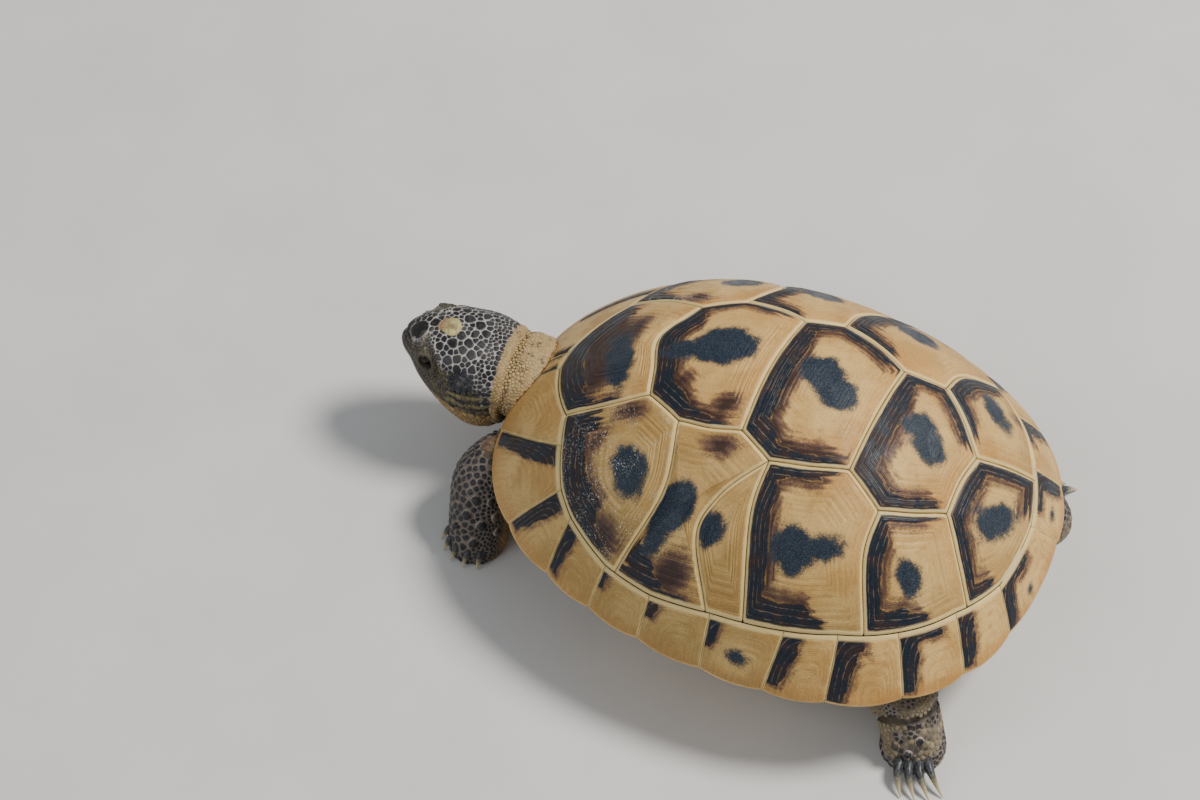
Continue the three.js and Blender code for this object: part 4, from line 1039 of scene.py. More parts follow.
# Where each plate's front seam leaves the middle line and how far back it ends at the side; then
# the plate's dark patch: part of the way out and back, half its length and half its width.
PLASTRON_PLATES = [
    ("gular", -49, -49.6, (0.4, 0.6, 2, 1.5)), ("humeral", -41, -46, (0.45, 0.5, 5, 3)),
    ("pectoral", -25, -22, (0.5, 0.5, 8, 1.8)), ("abdominal", -18, -16, (0.5, 0.5, 9, 9)),
    ("femoral", 15, 21.5, (0.42, 0.45, 5.5, 5)), ("anal", 32, 37, (0.45, 0.45, 3, 3)),
]
PLASTRON_LIP = 2.2                  # how much thicker the plastron is at its free edge
PLASTRON_ROUND = 2.4                # how far in the edge's round underside reaches
PLASTRON_RINGS = 24
PLASTRON_SPACING = 0.9
PLASTRON_SIDE = PLASTRON_OUTLINE[1:-1]
WHOLE_PLASTRON = np.vstack([PLASTRON_OUTLINE, PLASTRON_OUTLINE[-2:0:-1] * (-1, 1)])


def plastron_height(x, y):
    """Height of the plastron's underside, which turns up at the sides and at the front."""
    turn_up = 0.014 * np.maximum(0, np.abs(x) - 24) ** 2
    return PLASTRON_BOTTOM + turn_up + 0.02 * np.maximum(0, -y - 37) ** 2


def plastron_side_at(y):
    """The plastron's left edge at this y, ahead of where the outline turns inward."""
    return np.interp(y, PLASTRON_SIDE[:16, 1], PLASTRON_SIDE[:16, 0]), y


def plastron_plate_outline(index):
    """The left plate's outline: its front seam, the shell's edge, and its rear seam."""
    seams = [plate[1:3] for plate in PLASTRON_PLATES] + [(PLASTRON_OUTLINE[-1, 1], 60)]
    (middle, start), (next_middle, end) = seams[index:index + 2]
    path = [(0, middle)]
    if index:
        path.append(plastron_side_at(start))
    else:
        start = -60
    path += [tuple(place) for place in PLASTRON_SIDE if start + 0.3 < place[1] < end - 0.3]
    if index + 1 < len(PLASTRON_PLATES):
        path.append(plastron_side_at(end))
    path.append((0, next_middle))
    return np.array(path, float)


def plastron_piece(index, side, material):
    """A plate of the plastron, whose face looks down."""
    name, _, _, (out, back, half_long, half_wide) = PLASTRON_PLATES[index]
    outline = even_loop(plastron_plate_outline(index), PLASTRON_SPACING)
    plan, inside, part, edge, growth = plate_rings(outline, outline.mean(0), PLASTRON_RINGS)
    ridges = 0.1 * growth_ridges(np.maximum(part, AREOLA_PART), growth, 0 * part)
    lift = 0.32 - (0.32 + ridges) * edge_round(edge)
    near_rim = 1 - np.clip(outline_distance(plan, WHOLE_PLASTRON) / PLASTRON_ROUND, 0, 1)
    lift += 1.2 * (1 - np.sqrt(1 - near_rim**2))
    lower = np.column_stack([plan, plastron_height(plan[:, 0], plan[:, 1]) + lift])
    height = plastron_height(inside[:, 0], inside[:, 1]) + PLASTRON_THICKNESS
    height += PLASTRON_LIP * smoothstep(5, 0.6, outline_distance(inside, WHOLE_PLASTRON))
    spot_at = lerp(outline.min(0), outline.max(0), np.array([out, back]))
    spot = blob_field(plan, [(*spot_at, half_long, half_wide, 90)])
    add_plate(f"{name}_{'left' if side > 0 else 'right'}", lower, np.column_stack([inside, height]),
              PLASTRON_RINGS, {"edge": edge, "growth": growth, "spot": spot}, material,
              side)


# ---- Building the shell ------------------------------------------------------------------------

HORN = horn_material()
for plate_name in OUTLINES:
    plate_piece(plate_name, HORN)
for number in range(1, len(MARGINAL_SEAMS)):
    (rim_a, top_a), (rim_b, top_b) = MARGINAL_SEAMS[number - 1:number + 1]
    for side_name, mirror in (("left", False), ("right", True)):
        rim_plate(f"marginal_{side_name}_{number}", (rim_a, rim_b), (top_a, top_b),
                  PLATE_FLARE, mirror, HORN)
rim_plate("nuchal", (-2.4, 2.4), (-MIDDLE_TOP, MIDDLE_TOP), MIDDLE_FLARE, False, HORN)
rim_plate("supracaudal", (167, 193), (170.5, 189.5), MIDDLE_FLARE, False, HORN)
PLASTRON_HORN = plastron_material()
for index in range(len(PLASTRON_PLATES)):
    for side in (1, -1):
        plastron_piece(index, side, PLASTRON_HORN)


# ---- Head, neck, limbs and tail as smooth lofts ------------------------------------------------

HEAD_ORIGIN = np.array([0.9, -76.3, 28.9])
HEAD_TURN = math.radians(6)
HEAD_SIDE = np.array([math.cos(HEAD_TURN), math.sin(HEAD_TURN), 0])
HEAD_AHEAD = np.array([math.sin(HEAD_TURN), -math.cos(HEAD_TURN), 0])
EYE = np.array([0.4, 5.35, -0.8])   # the left eyeball's centre: ahead, to the left and up
EYE_RADIUS = 2.1
LID_THICKNESS = 0.35

# Distance ahead of the eyes, half width, top, bottom, and how square the section is.
HEAD_STATIONS = np.array([
    (8.0, 0.5, -2.5, -4.4, 2.1), (7.6, 1.6, -1.8, -5.2, 2.2), (6.6, 3, 0, -6.8, 2.3),
    (5, 4.2, 1.5, -8, 2.4), (2.6, 6.5, 3, -10.4, 2.5), (0, 8.2, 3.9, -13, 2.5),
    (-3.2, 9.5, 4.3, -15.6, 2.6), (-6.8, 10.6, 4.2, -17.8, 2.6), (-10.6, 11.1, 3.9, -18.8, 2.6),
    (-13.6, 10.7, 3.5, -18.2, 2.5), (-15.8, 9.8, 3, -16.6, 2.4), (-17, 8.6, 2, -15, 2.3),
])


def from_head(places):
    """Points in the shell's frame from distances ahead, to the left and up of the eye line."""
    places = np.asarray(places, float)
    return (HEAD_ORIGIN + places[..., :1] * HEAD_AHEAD + places[..., 1:2] * HEAD_SIDE
            + places[..., 2:3] * UP)


def to_head(points):
    away = points - HEAD_ORIGIN
    return np.stack([away @ HEAD_AHEAD, away @ HEAD_SIDE, away[..., 2]], -1)


NECK_STATIONS = np.array([
    (*from_head((-14.6, 0, -6.4)), 8.6, 7.6), (*from_head((-16.1, 0, -6.2)), 8.8, 8),
    (*from_head((-18.4, 0, -6)), 9.9, 8.6), (-2, -55.4, 22.7, 9.8, 8.3), (-1.3, -51, 20.8, 9.4, 8),
    (-0.5, -46.5, 19.4, 9, 7.6), (0, -40, 19, 9.2, 7.6),
])
TAIL_STATIONS = np.array([
    (0, 42, 15, 5, 4.6), (0.4, 47, 14, 4.5, 4.1), (1.4, 50, 12.2, 3.6, 3.3),
    (3.2, 51.6, 9.8, 2.5, 2.3), (5.4, 51.6, 7.8, 1.4, 1.3), (6.8, 51.2, 7, 0.5, 0.5),
])
# Legs: place, half width and half depth, on the leg's own side. Claws fan out from the foot
# about their heading, in degrees from the leg's side towards the tail.
LEGS = {
    "front_leg_left": {
        "side": 1,
        "stations": [
            (11, -34, 18, 7, 7), (12.6, -44, 16.6, 7.2, 6.8), (14.6, -53, 15, 7.5, 7),
            (18.6, -56.4, 12, 7.8, 6.9), (22.4, -56, 8, 7.2, 6.3), (24.4, -55.4, 4, 7, 6.1),
            (25.2, -55, 1.4, 7.2, 6.2), (25.4, -54.8, -1.5, 7, 6),
        ],
        "claws": {"heading": -20, "spread": 110, "count": 5,
                  "reach": 4.8, "length": 3.2, "radius": 1.3},
    },
    "front_leg_right": {
        "side": -1,
        "stations": [
            (11, -34, 18, 7, 7), (14, -42.5, 16.4, 7.2, 6.8), (17.6, -48.5, 14, 7.5, 7),
            (21, -51, 11, 7.8, 6.9), (24, -52, 7.6, 7.4, 6.3), (25.8, -52.2, 4, 7.2, 6.1),
            (26.6, -52, 1.4, 7.4, 6.2), (26.8, -52, -1.5, 7, 6),
        ],
        "claws": {"heading": -45, "spread": 110, "count": 5,
                  "reach": 5.2, "length": 4, "radius": 1.3},
    },
    "hind_leg_left": {
        "side": 1,
        "stations": [
            (15, 27, 19.5, 7.5, 8), (21.5, 34, 15.8, 7.2, 7.2), (27, 40, 11.6, 7, 7),
            (30.2, 43.8, 7.4, 6.6, 6.6), (31.6, 45.4, 3.6, 6.6, 6.6), (32.2, 46, 1, 6.9, 6.9),
            (32.4, 46.2, -1.5, 6.6, 6.6),
        ],
        "claws": {"heading": 26, "spread": 62, "count": 4,
                  "reach": 4.6, "length": 7.6, "radius": 1.4},
    },
    "hind_leg_right": {
        "side": -1,
        "stations": [
            (15, 27, 19.5, 7.5, 8), (21, 34, 15.8, 7.2, 7.2), (26, 40.5, 11.6, 7, 7),
            (28.8, 45, 7.4, 6.6, 6.6), (29.8, 46.8, 3.6, 6.6, 6.6), (30.2, 47.4, 1, 6.9, 6.9),
            (30.4, 47.6, -1.5, 6.6, 6.6),
        ],
        "claws": {"heading": -8, "spread": 62, "count": 4,
                  "reach": 4.6, "length": 6.6, "radius": 1.4},
    },
}
for leg in LEGS.values():
    leg["stations"] = np.array(leg["stations"], float) * (leg["side"], 1, 1, 1, 1)


def smooth_rows(rows, steps=5):
    """Rows joined by a smooth curve that passes through each of them."""
    rows = np.asarray(rows, float)
    padded = np.vstack([2 * rows[0] - rows[1], rows, 2 * rows[-1] - rows[-2]])
    part = (np.arange(steps) / steps)[:, None]
    pieces = []
    for a, b, d, e in zip(padded, padded[1:], padded[2:], padded[3:]):
        pieces.append(0.5 * (2 * b + (d - a) * part + (2 * a - 5 * b + 4 * d - e) * part**2
                             + (3 * b - a - 3 * d + e) * part**3))
    return np.vstack([*pieces, rows[-1:]])


class Limb:
    """A limb's middle line with its sections, and the loft over them."""

    def __init__(self, stations, up_hint, sides=36):
        rows = smooth_rows(stations)
        self.middle = rows[:, :3]
        self.wide, self.deep = rows[:, 3], rows[:, 4]
        forward = np.gradient(self.middle, axis=0)
        self.forward = forward / np.linalg.norm(forward, axis=1, keepdims=True)
        right = np.cross(self.forward, up_hint)
        self.right = right / np.linalg.norm(right, axis=1, keepdims=True)
        self.up = np.cross(self.right, self.forward)
        steps = np.linalg.norm(np.diff(self.middle, axis=0), axis=1)
        self.along = np.concatenate([[0], np.cumsum(steps)])
        turn = np.linspace(0, 2 * math.pi, sides, endpoint=False)
        across = np.cos(turn)[None, :, None] * self.wide[:, None, None] * self.right[:, None]
        tall = np.sin(turn)[None, :, None] * self.deep[:, None, None] * self.up[:, None]
        self.rings = self.middle[:, None] + across + tall

    def place(self, points):
        """For points: part of the way along, direction round the limb, and the limb's heading."""
        nearest = np.empty(len(points), int)
        for start in range(0, len(points), BLOCK):
            block = slice(start, start + BLOCK)
            nearest[block] = ((points[block, None] - self.middle[None]) ** 2).sum(2).argmin(1)
        away = points - self.middle[nearest]
        step = (away * self.forward[nearest]).sum(1)
        around = np.arctan2((away * self.up[nearest]).sum(1), (away * self.right[nearest]).sum(1))
        return (self.along[nearest] + step) / self.along[-1], around, self.forward[nearest]


def squared_off(value, square):
    """A sine or cosine for a section that's squarer than a circle, which is 2."""
    return np.sign(value) * np.abs(value) ** (2 / square)


def head_rings(sides=48):
    turn = np.linspace(0, 2 * math.pi, sides, endpoint=False)
    cosine, sine = np.cos(turn), np.sin(turn)
    rings = []
    for ahead, half, top, bottom, square in smooth_rows(HEAD_STATIONS):
        side = half * squared_off(cosine, square)
        high = (top + bottom) / 2 + (top - bottom) / 2 * squared_off(sine, square)
        rings.append(from_head(np.stack([np.full(sides, ahead), side, high], -1)))
    return np.stack(rings)


LIMBS = {name: Limb(leg["stations"], (0, 1, 0)) for name, leg in LEGS.items()}
LIMBS["neck"] = Limb(NECK_STATIONS, (0, 0, 1))
LIMBS["tail"] = Limb(TAIL_STATIONS, (0, 0, 1))


# ---- Flesh as one field of distances -----------------------------------------------------------
# The field is kept on a grid: negative inside the flesh, in mm.

VOXEL = 0.5
GRID_LOW = np.array([-50.0, -90.0, -4.0])
GRID_SIZE = np.array([202, 318, 132])
FIELD_REACH = 8                     # how many voxels from a surface its distance is kept


def closed_loft(rings):
    """A closed surface over rings of places: its points, quads and triangles."""
    count, size = rings.shape[:2]
    points = np.vstack([rings.reshape(-1, 3), rings[0].mean(0), rings[-1].mean(0)])
    here = np.arange(size)
    after = (here + 1) % size
    last = (count - 1) * size
    first_cap = np.stack([after, here, np.full(size, count * size)], -1)
    last_cap = np.stack([last + here, last + after, np.full(size, count * size + 1)], -1)
    return points, ring_quads(count, size), np.vstack([first_cap, last_cap])


def sphere(centre, radius, sides=32):
    """A closed round surface: its points, quads and triangles."""
    polar = np.linspace(0.04, math.pi - 0.04, sides // 2)
    turn = np.linspace(0, 2 * math.pi, sides, endpoint=False)
    ring = np.stack([np.cos(turn), np.sin(turn), np.zeros(sides)], -1)
    rings = np.sin(polar)[:, None, None] * ring + np.cos(polar)[:, None, None] * UP
    return closed_loft(centre + radius * rings)


def distance_field(points, quads, triangles):
    """Distance from a closed surface at each place of the grid, in mm."""
    placed = ((points - GRID_LOW) / VOXEL).astype(np.float32)
    if len(quads):
        triangles = np.vstack([triangles, quads[:, [0, 1, 2]], quads[:, [0, 2, 3]]])
    grid = vdb.FloatGrid.createLevelSetFromPolygons(
        placed, triangles=triangles.astype(np.uint32), halfWidth=float(FIELD_REACH))
    values = np.full(GRID_SIZE, float(FIELD_REACH), np.float32)
    grid.copyToArray(values)
    return values * VOXEL


def node_surface(names):
    """The triangles of CAD nodes, in the shell's frame."""
    points, faces, count = [], [], 0
    for name in names:
        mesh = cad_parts[name].data
        mesh.calc_loop_triangles()
        place = np.empty(len(mesh.vertices) * 3, np.float32)
        mesh.vertices.foreach_get("co", place)
        corner = np.empty(len(mesh.loop_triangles) * 3, np.int32)
        mesh.loop_triangles.foreach_get("vertices", corner)
        points.append(place.reshape(-1, 3) / MM - (0, ROW_SHIFT_Y, 0))
        faces.append(corner.reshape(-1, 3) + count)
        count += len(points[-1])
    return np.vstack(points), np.zeros((0, 4), int), np.vstack(faces)


def blended(a, b, width):
    """The union of two fields with a rounded join of this width."""
    part = np.clip(0.5 + 0.5 * (b - a) / width, 0, 1)
    return b + (a - b) * part - width * part * (1 - part)


def softened(field, rounds):
    """The field averaged with its neighbours, so many times."""
    for _ in range(rounds):
        for axis in range(3):
            field = (np.roll(field, 1, axis) + 2 * field + np.roll(field, -1, axis)) / 4
    return field


COAT_DEPTH = 0.25                   # how far inside the solids the skin lies, under the scales
FLESH_NODES = ["trunk", "neck", "head", "tail", *LEGS]
SHELL_NODES = [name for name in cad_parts
               if name not in FLESH_NODES and not name.startswith("eye")]
SHELL_GAP = 0.2                     # between the skin and the shell's solids
FLOOR_GAP = 0.06                    # between the soles' skin and the floor


def flesh_field():
    """The body's parts joined with rounded joins, kept clear of the shell and the floor."""
    trunk = softened(distance_field(*node_surface(["trunk"])), 3)
    field = blended(trunk, distance_field(*closed_loft(LIMBS["neck"].rings)), 3.0)
    head = distance_field(*closed_loft(head_rings()))
    for name in (*LEGS, "tail"):
        field = blended(field, distance_field(*closed_loft(LIMBS[name].rings)), 2.5)
    field = softened(field, 2)
    field = blended(field, softened(head, 1), 1.2) + COAT_DEPTH
    for side in (1, -1):
        centre = from_head(EYE * (1, side, 1))
        lids = distance_field(*sphere(centre, EYE_RADIUS + LID_THICKNESS))
        field = blended(field, lids, 1.0)
    shell = distance_field(*node_surface(SHELL_NODES))
    field = np.maximum(field, SHELL_GAP - shell)
    height = GRID_LOW[2] + np.arange(GRID_SIZE[2]) * VOXEL
    return np.maximum(field, FLOOR_GAP - height[None, None, :]).astype(np.float32)


FIELD = flesh_field()


def field_at(points):
    """The field and its slope at points, by straight-line interpolation between grid places."""
    def between(pair, part):
        return pair[:, 0] * (1 - part) + pair[:, 1] * part

    place = np.clip((points - GRID_LOW) / VOXEL, 1, GRID_SIZE - 2.001)
    low = place.astype(int)
    px, py, pz = (place - low).T
    py = py[:, None]
    corners = np.empty((len(points), 2, 2, 2), np.float32)
    for i, j, k in np.ndindex(2, 2, 2):
        corners[:, i, j, k] = FIELD[low[:, 0] + i, low[:, 1] + j, low[:, 2] + k]
    plane = between(corners, px[:, None, None])
    line = between(plane, py)
    wide = between(corners[:, 1] - corners[:, 0], py)
    tall = plane[:, 1] - plane[:, 0]
    slope = [between(wide, pz), between(tall, pz), line[:, 1] - line[:, 0]]
    return between(line, pz), np.stack(slope, -1) / VOXEL


def onto_skin(points, rounds=3):
    """Points moved onto the flesh's surface, with the surface's outward directions."""
    for _ in range(rounds):
        value, slope = field_at(points)
        steep = np.maximum((slope**2).sum(1), 0.2)
        points = points - slope * np.clip(value / steep, -0.6, 0.6)[:, None]
    step = 0.45
    normal = np.zeros_like(points)
    for axis in range(3):
        shift = np.eye(3)[axis] * step
        normal[:, axis] = field_at(points + shift)[0] - field_at(points - shift)[0]
    return points, normal / np.maximum(np.linalg.norm(normal, axis=1, keepdims=True), 1e-6)


# ---- Which part of the body a point belongs to -------------------------------------------------

HEAD_BACK = -15.0                   # where the head's skin meets the neck's, ahead of the eyes
LIMB_REACH = 1.35                   # how far from a limb's middle it reaches, in half widths
PARTS = ["trunk", "head", "neck", "tail", *LEGS]


def part_of(points):
    """The index in PARTS of the part that each point lies on."""
    local = to_head(points)
    nearest = np.full(len(points), 1e9)
    owner = np.zeros(len(points), int)
    for name, limb in LIMBS.items():
        gap = np.empty(len(points))
        for start in range(0, len(points), BLOCK):
            block = slice(start, start + BLOCK)
            away = np.sqrt(((points[block, None] - limb.middle[None]) ** 2).sum(2))
            gap[block] = (away / ((limb.wide + limb.deep) / 2)).min(1)
        closer = gap < nearest
        nearest = np.where(closer, gap, nearest)
        owner = np.where(closer, PARTS.index(name), owner)
    owner = np.where(nearest > LIMB_REACH, PARTS.index("trunk"), owner)
    in_head = (local[:, 0] > HEAD_BACK) & (np.abs(local[:, 1]) < 13) & (local[:, 2] > -22)
    return np.where(in_head & (points[:, 2] > 8), PARTS.index("head"), owner)


def legs_among(owner):
    """Each leg's name and which of the points lie on it, for the legs that have any."""
    for name in LEGS:
        on_leg = owner == PARTS.index(name)
        if on_leg.any():
            yield name, on_leg


# ---- The skin's relief -------------------------------------------------------------------------

MOUTH_LINE = np.array([(8.2, -4.4), (6.5, -4.7), (3, -5.9), (-2, -7.5), (-5, -8.2), (-8, -8.3)])
EYE_OPENING = (1.55, 1.12)          # half its length and half its width
EYE_OPENING_AT = (0.0, -0.45)       # ahead and up
EYE_SLANT = math.radians(-40)       # its length slopes down towards the ear
EARDRUM = (-8.5, -1.4)
NOSTRIL = np.array([7.3, 0.85, -1.7])
HEAD_FLANK = 6                      # further to the side than this is the side of the head
DARK_CREASE_ALONG = 0.70            # part of the way down the hind leg


def eye_ring(local):
    """1 at the edge of the eye's opening, smaller inside it and larger outside."""
    ahead = local[:, 0] - EYE_OPENING_AT[0]
    up = local[:, 2] - EYE_OPENING_AT[1]
    long_way = math.cos(EYE_SLANT) * ahead - math.sin(EYE_SLANT) * up
    short_way = math.sin(EYE_SLANT) * ahead + math.cos(EYE_SLANT) * up
    ring = np.hypot(long_way / EYE_OPENING[0], short_way / EYE_OPENING[1])
    return np.where(np.abs(local[:, 1]) > 3.2, ring, 9.0)


def mouth_gap(local):
    """Height above the line of the mouth."""
    return local[:, 2] - np.interp(local[:, 0], MOUTH_LINE[::-1, 0], MOUTH_LINE[::-1, 1])


def head_relief(local):
    ahead, side, up = local.T
    ring = eye_ring(local)
    relief = -1.9 * smoothstep(1.04, 0.8, ring) + 0.30 * bump_at(ring - 1.35, 0.28)
    relief -= 0.28 * bump_at(ring - 2.15, 0.28)
    relief += 0.25 * bump_at(ring - 2.8, 0.4) * (up > EYE[2])
    in_mouth = smoothstep(-8.6, -7.2, ahead)
    relief -= 0.5 * bump_at(mouth_gap(local), 0.2) * in_mouth
    for mirror in (1, -1):
        away = np.linalg.norm(local - NOSTRIL * (1, mirror, 1), axis=1)
        relief -= 0.9 * bump_at(away, 0.42)
    drum = np.hypot(ahead - EARDRUM[0], up - EARDRUM[1])
    on_side = np.abs(side) > HEAD_FLANK
    relief += (0.25 * smoothstep(2.1, 0.9, drum) - 0.35 * bump_at(drum - 2.3, 0.35)) * on_side
    jaw = up + 3.6 + 0.22 * (ahead + 8.7)
    relief -= 0.32 * bump_at(jaw, 0.28) * smoothstep(-6.3, -7.4, ahead) * on_side
    low = smoothstep(-11, -13.5, up)
    relief += 0.16 * low * np.sin(side * 1.9 + 0.8 * np.sin(ahead * 0.9))
    return relief


def crease_gap(along, around):
    """How far below the hind leg's dark crease a place is, as a part of the leg's length."""
    return along - DARK_CREASE_ALONG - 0.02 * np.sin(around * 2)


def skin_relief(points, owner):
    """How far the skin stands above the smooth flesh, in mm: lids, nostrils, folds, creases."""
    relief = 0.10 * value_noise(points, 2.6, seed=21) + 0.05 * value_noise(points, 1.1, seed=22)
    head = owner == PARTS.index("head")
    relief[head] = relief[head] * 0.6 + head_relief(to_head(points[head]))
    neck = owner == PARTS.index("neck")
    if neck.any():
        along, around, _ = LIMBS["neck"].place(points[neck])
        folds = np.sin(along * 34 + 1.6 * np.sin(around * 2 + 1) + 0.9 * np.sin(around * 5))
        relief[neck] += 0.14 * folds + 0.06 * np.sin(around * 9 + 5 * along)
        behind = HEAD_BACK - to_head(points[neck])[:, 0]
        relief[neck] += 0.55 * bump_at(behind - 1.0, 0.7) - 0.35 * bump_at(behind - 2.4, 0.5)
    for name, on_leg in legs_among(owner):
        along, around, _ = LIMBS[name].place(points[on_leg])
        folds = np.sin(along * 46 + 1.4 * np.sin(around * 2) + 0.7 * np.sin(around * 3 + 2))
        relief[on_leg] += 0.2 * folds * smoothstep(0.75, 0.45, along)
        if name.startswith("hind"):
            gap = crease_gap(along, around)
            relief[on_leg] -= 0.75 * bump_at(gap, 0.022)
            relief[on_leg] += 0.45 * bump_at(gap + 0.06, 0.04)
    return relief * smoothstep(0.3, 1.6, points[:, 2])


def part_relief(name, points):
    """The same for points that all lie on one part."""
    return skin_relief(points, np.full(len(points), PARTS.index(name)))


# ---- Colours of the flesh ----------------------------------------------------------------------

SCALE_BLACK = np.array([0.009, 0.009, 0.013])
SCALE_GREY = np.array([0.038, 0.037, 0.042])
NET_GREY = np.array([0.46, 0.44, 0.42])
SNOUT_GREY = np.array([0.050, 0.047, 0.044])
LID_OLIVE = np.array([0.070, 0.060, 0.042])
NECK_TAN = np.array([0.42, 0.295, 0.135])
LEG_OCHRE = np.array([0.36, 0.22, 0.095])
LEG_NET = np.array([0.22, 0.18, 0.15])
HIND_TAN = np.array([0.25, 0.20, 0.125])
HIND_GREY = np.array([0.165, 0.14, 0.105])
CHEEK_OLIVE = np.array([0.085, 0.065, 0.036])
CHEEK_YELLOW = np.array([0.26, 0.22, 0.085])
EAR_NAVY = np.array([0.020, 0.024, 0.036])
THROAT = np.array([0.33, 0.21, 0.085])
PATCH_CREAM = np.array([0.52, 0.45, 0.20])
PATCH_BROWN = np.array([0.17, 0.11, 0.055])
PATCH_STAIN = np.array([0.26, 0.15, 0.08])
PATCH_GREEN = np.array([0.38, 0.35, 0.13])
STREAK_PALE = np.array([0.46, 0.40, 0.33])
SPECK = np.array([0.05, 0.038, 0.030])
LID_EDGE = np.array([0.012, 0.011, 0.010])
WRINKLE_SHADE = (0.06, 0.045, 0.03)
DRY_SKIN = (0.42, 0.36, 0.28)
SCALE_DUST = (0.30, 0.27, 0.22)
PIT_SHADE = (0.010, 0.009, 0.010)
PATCH = (-2.9, 0.2)                 # middle of the yellow patch, ahead and to the left
# How far down the head the dark plates and their pale net reach: distance ahead, then height.
NET_EDGE = np.array([(-17, -8.5), (-12.5, -5.5), (-10.8, -1.5), (-8.5, 1.0), (-5.5, -0.5),
                     (-3, 0.5), (0, 1.6), (4, 0.5), (8, -1.5)])


def mixed(a, b, part):
    return a + (b - a) * np.asarray(part)[..., None]


def head_marks(points, colour):
    """The colour with the head's marks: yellow patch, stain, pale streaks, cheek stripes."""
    ahead, side, up = to_head(points).T
    noise = value_noise(points, 2.4, seed=31)
    fine = value_noise(points, 0.9, seed=35)
    on_top = up > 1.2
    streak = bump_at(ahead - 1.2 - 0.35 * (np.abs(side) - 3.4) + 0.5 * noise, 0.55)
    streak = streak * bump_at(np.abs(side) - 3.4, 1.3) * on_top
    colour = mixed(colour, STREAK_PALE, 0.75 * streak * smoothstep(-0.5, 0.2, fine))
    patch = np.hypot((ahead - PATCH[0]) / 2.35, (side - PATCH[1]) / 2.3) + 0.2 * noise + 0.16 * fine
    in_patch = smoothstep(1.08, 0.94, patch) * on_top
    paint = mixed(PATCH_CREAM, PATCH_GREEN, smoothstep(-0.2, 0.5, fine))
    paint = mixed(paint, PATCH_BROWN, 0.9 * smoothstep(0.62, 0.25, patch + 0.3 * fine))
    stained = smoothstep(-2.6, -1.2, ahead + 0.8 * noise)
    paint = mixed(paint, PATCH_STAIN, 0.9 * stained)
    colour = mixed(colour, paint, in_patch)
    behind_mouth = smoothstep(-4.5, -6.5, ahead) * (np.abs(side) > 5)
    sloped = up + 0.2 * (ahead + 9) + 0.7 * noise
    pale = bump_at(sloped + 4.3, 0.42) + bump_at(sloped + 6.6, 0.5)
    pale = pale * smoothstep(-0.55, 0.15, fine)
    dark = bump_at(sloped + 3.4, 0.3) + bump_at(sloped + 5.5, 0.42) + bump_at(sloped + 7.7, 0.4)
    colour = mixed(colour, CHEEK_YELLOW, 0.8 * np.clip(pale, 0, 1) * behind_mouth)
    return mixed(colour, SCALE_BLACK, 0.85 * np.clip(dark, 0, 1) * behind_mouth)


def head_colours(points, noise):
    """The scales' colour and the net's between them on the head: the crown, cheeks and throat."""
    ahead, side, up = to_head(points).T
    top = smoothstep(-0.5, 0.6, up - np.interp(ahead, *NET_EDGE.T) + 0.4 * noise)
    cheek = mixed(CHEEK_OLIVE, SCALE_BLACK * 1.6, smoothstep(0.1, 0.6, noise))
    from_ear = np.hypot(ahead - EARDRUM[0] - 0.4, up - EARDRUM[1] - 0.4)
    cheek = mixed(cheek, EAR_NAVY, smoothstep(3.3, 2.4, from_ear))
    low = smoothstep(-8.6, -10.2, up + 0.5 * noise)
    crown = mixed(SCALE_BLACK, SCALE_GREY, smoothstep(-0.4, 0.7, noise))
    scale = mixed(mixed(cheek, THROAT, low), crown, top)
    net = mixed(mixed(CHEEK_OLIVE * 2.2, THROAT * 0.8, low), NET_GREY, top)
    snout = smoothstep(1.6, 2.6, ahead) * smoothstep(-6, -5, up)
    scale = mixed(scale, SCALE_BLACK * 0.8, snout)
    net = mixed(net, SNOUT_GREY, smoothstep(5.0, 6.4, ahead))
    ring = eye_ring(np.stack([ahead, side, up], -1))
    scale = mixed(scale, LID_OLIVE * 0.8, smoothstep(3.4, 2.6, ring))
    net = mixed(net, LID_OLIVE, smoothstep(2.2, 1.5, ring))
    net = mixed(net, LID_EDGE, smoothstep(1.25, 1.02, ring))
    drum = np.hypot(ahead - EARDRUM[0], up - EARDRUM[1]) + 0.4 * noise
    on_side = np.abs(side) > HEAD_FLANK
    net = mixed(net, EAR_NAVY * 0.7, smoothstep(2.5, 2.0, drum) * on_side)
    below_ear = bump_at(drum - 2.9, 0.35) * (up < EARDRUM[1]) * on_side
    net = mixed(net, CHEEK_YELLOW * 0.9, below_ear)
    return scale, head_marks(points, net)


def leg_colours(name, points, normal, noise, specks):
    """The same on a leg: dark plates on the front legs, specked pale ones on the hind legs."""
    along, around, _ = LIMBS[name].place(points)
    if name.startswith("front"):
        facing = (-0.9 * normal[:, 1] + 0.45 * normal[:, 0] * LEGS[name]["side"]
                  + 0.45 * normal[:, 2])
        warm = smoothstep(19.5, 21.5, points[:, 2] + noise)
        dark = smoothstep(-0.95, -0.45, facing + 0.25 * noise) * (1 - 0.75 * warm)
        scale = mixed(LEG_OCHRE, mixed(SCALE_BLACK, SCALE_GREY, 0.3 + 0.3 * noise), dark)
        return scale, mixed(LEG_OCHRE * 0.6, LEG_NET, dark)
    dark = smoothstep(-0.1, 0.25, noise) * smoothstep(0.45, 0.7, along)
    pale = mixed(HIND_TAN, HIND_GREY, smoothstep(-0.4, 0.3, noise))
    scale = mixed(pale, SCALE_BLACK * 1.4, np.maximum(dark, 0.8 * specks))
    net = mixed(pale * 0.8, LEG_NET * 1.3, dark)
    # Painted shade: the skin between the scales is painted near black along the hind leg's deep
    # crease.
    return scale, mixed(net, SPECK * 0.4, bump_at(crease_gap(along, around), 0.03))


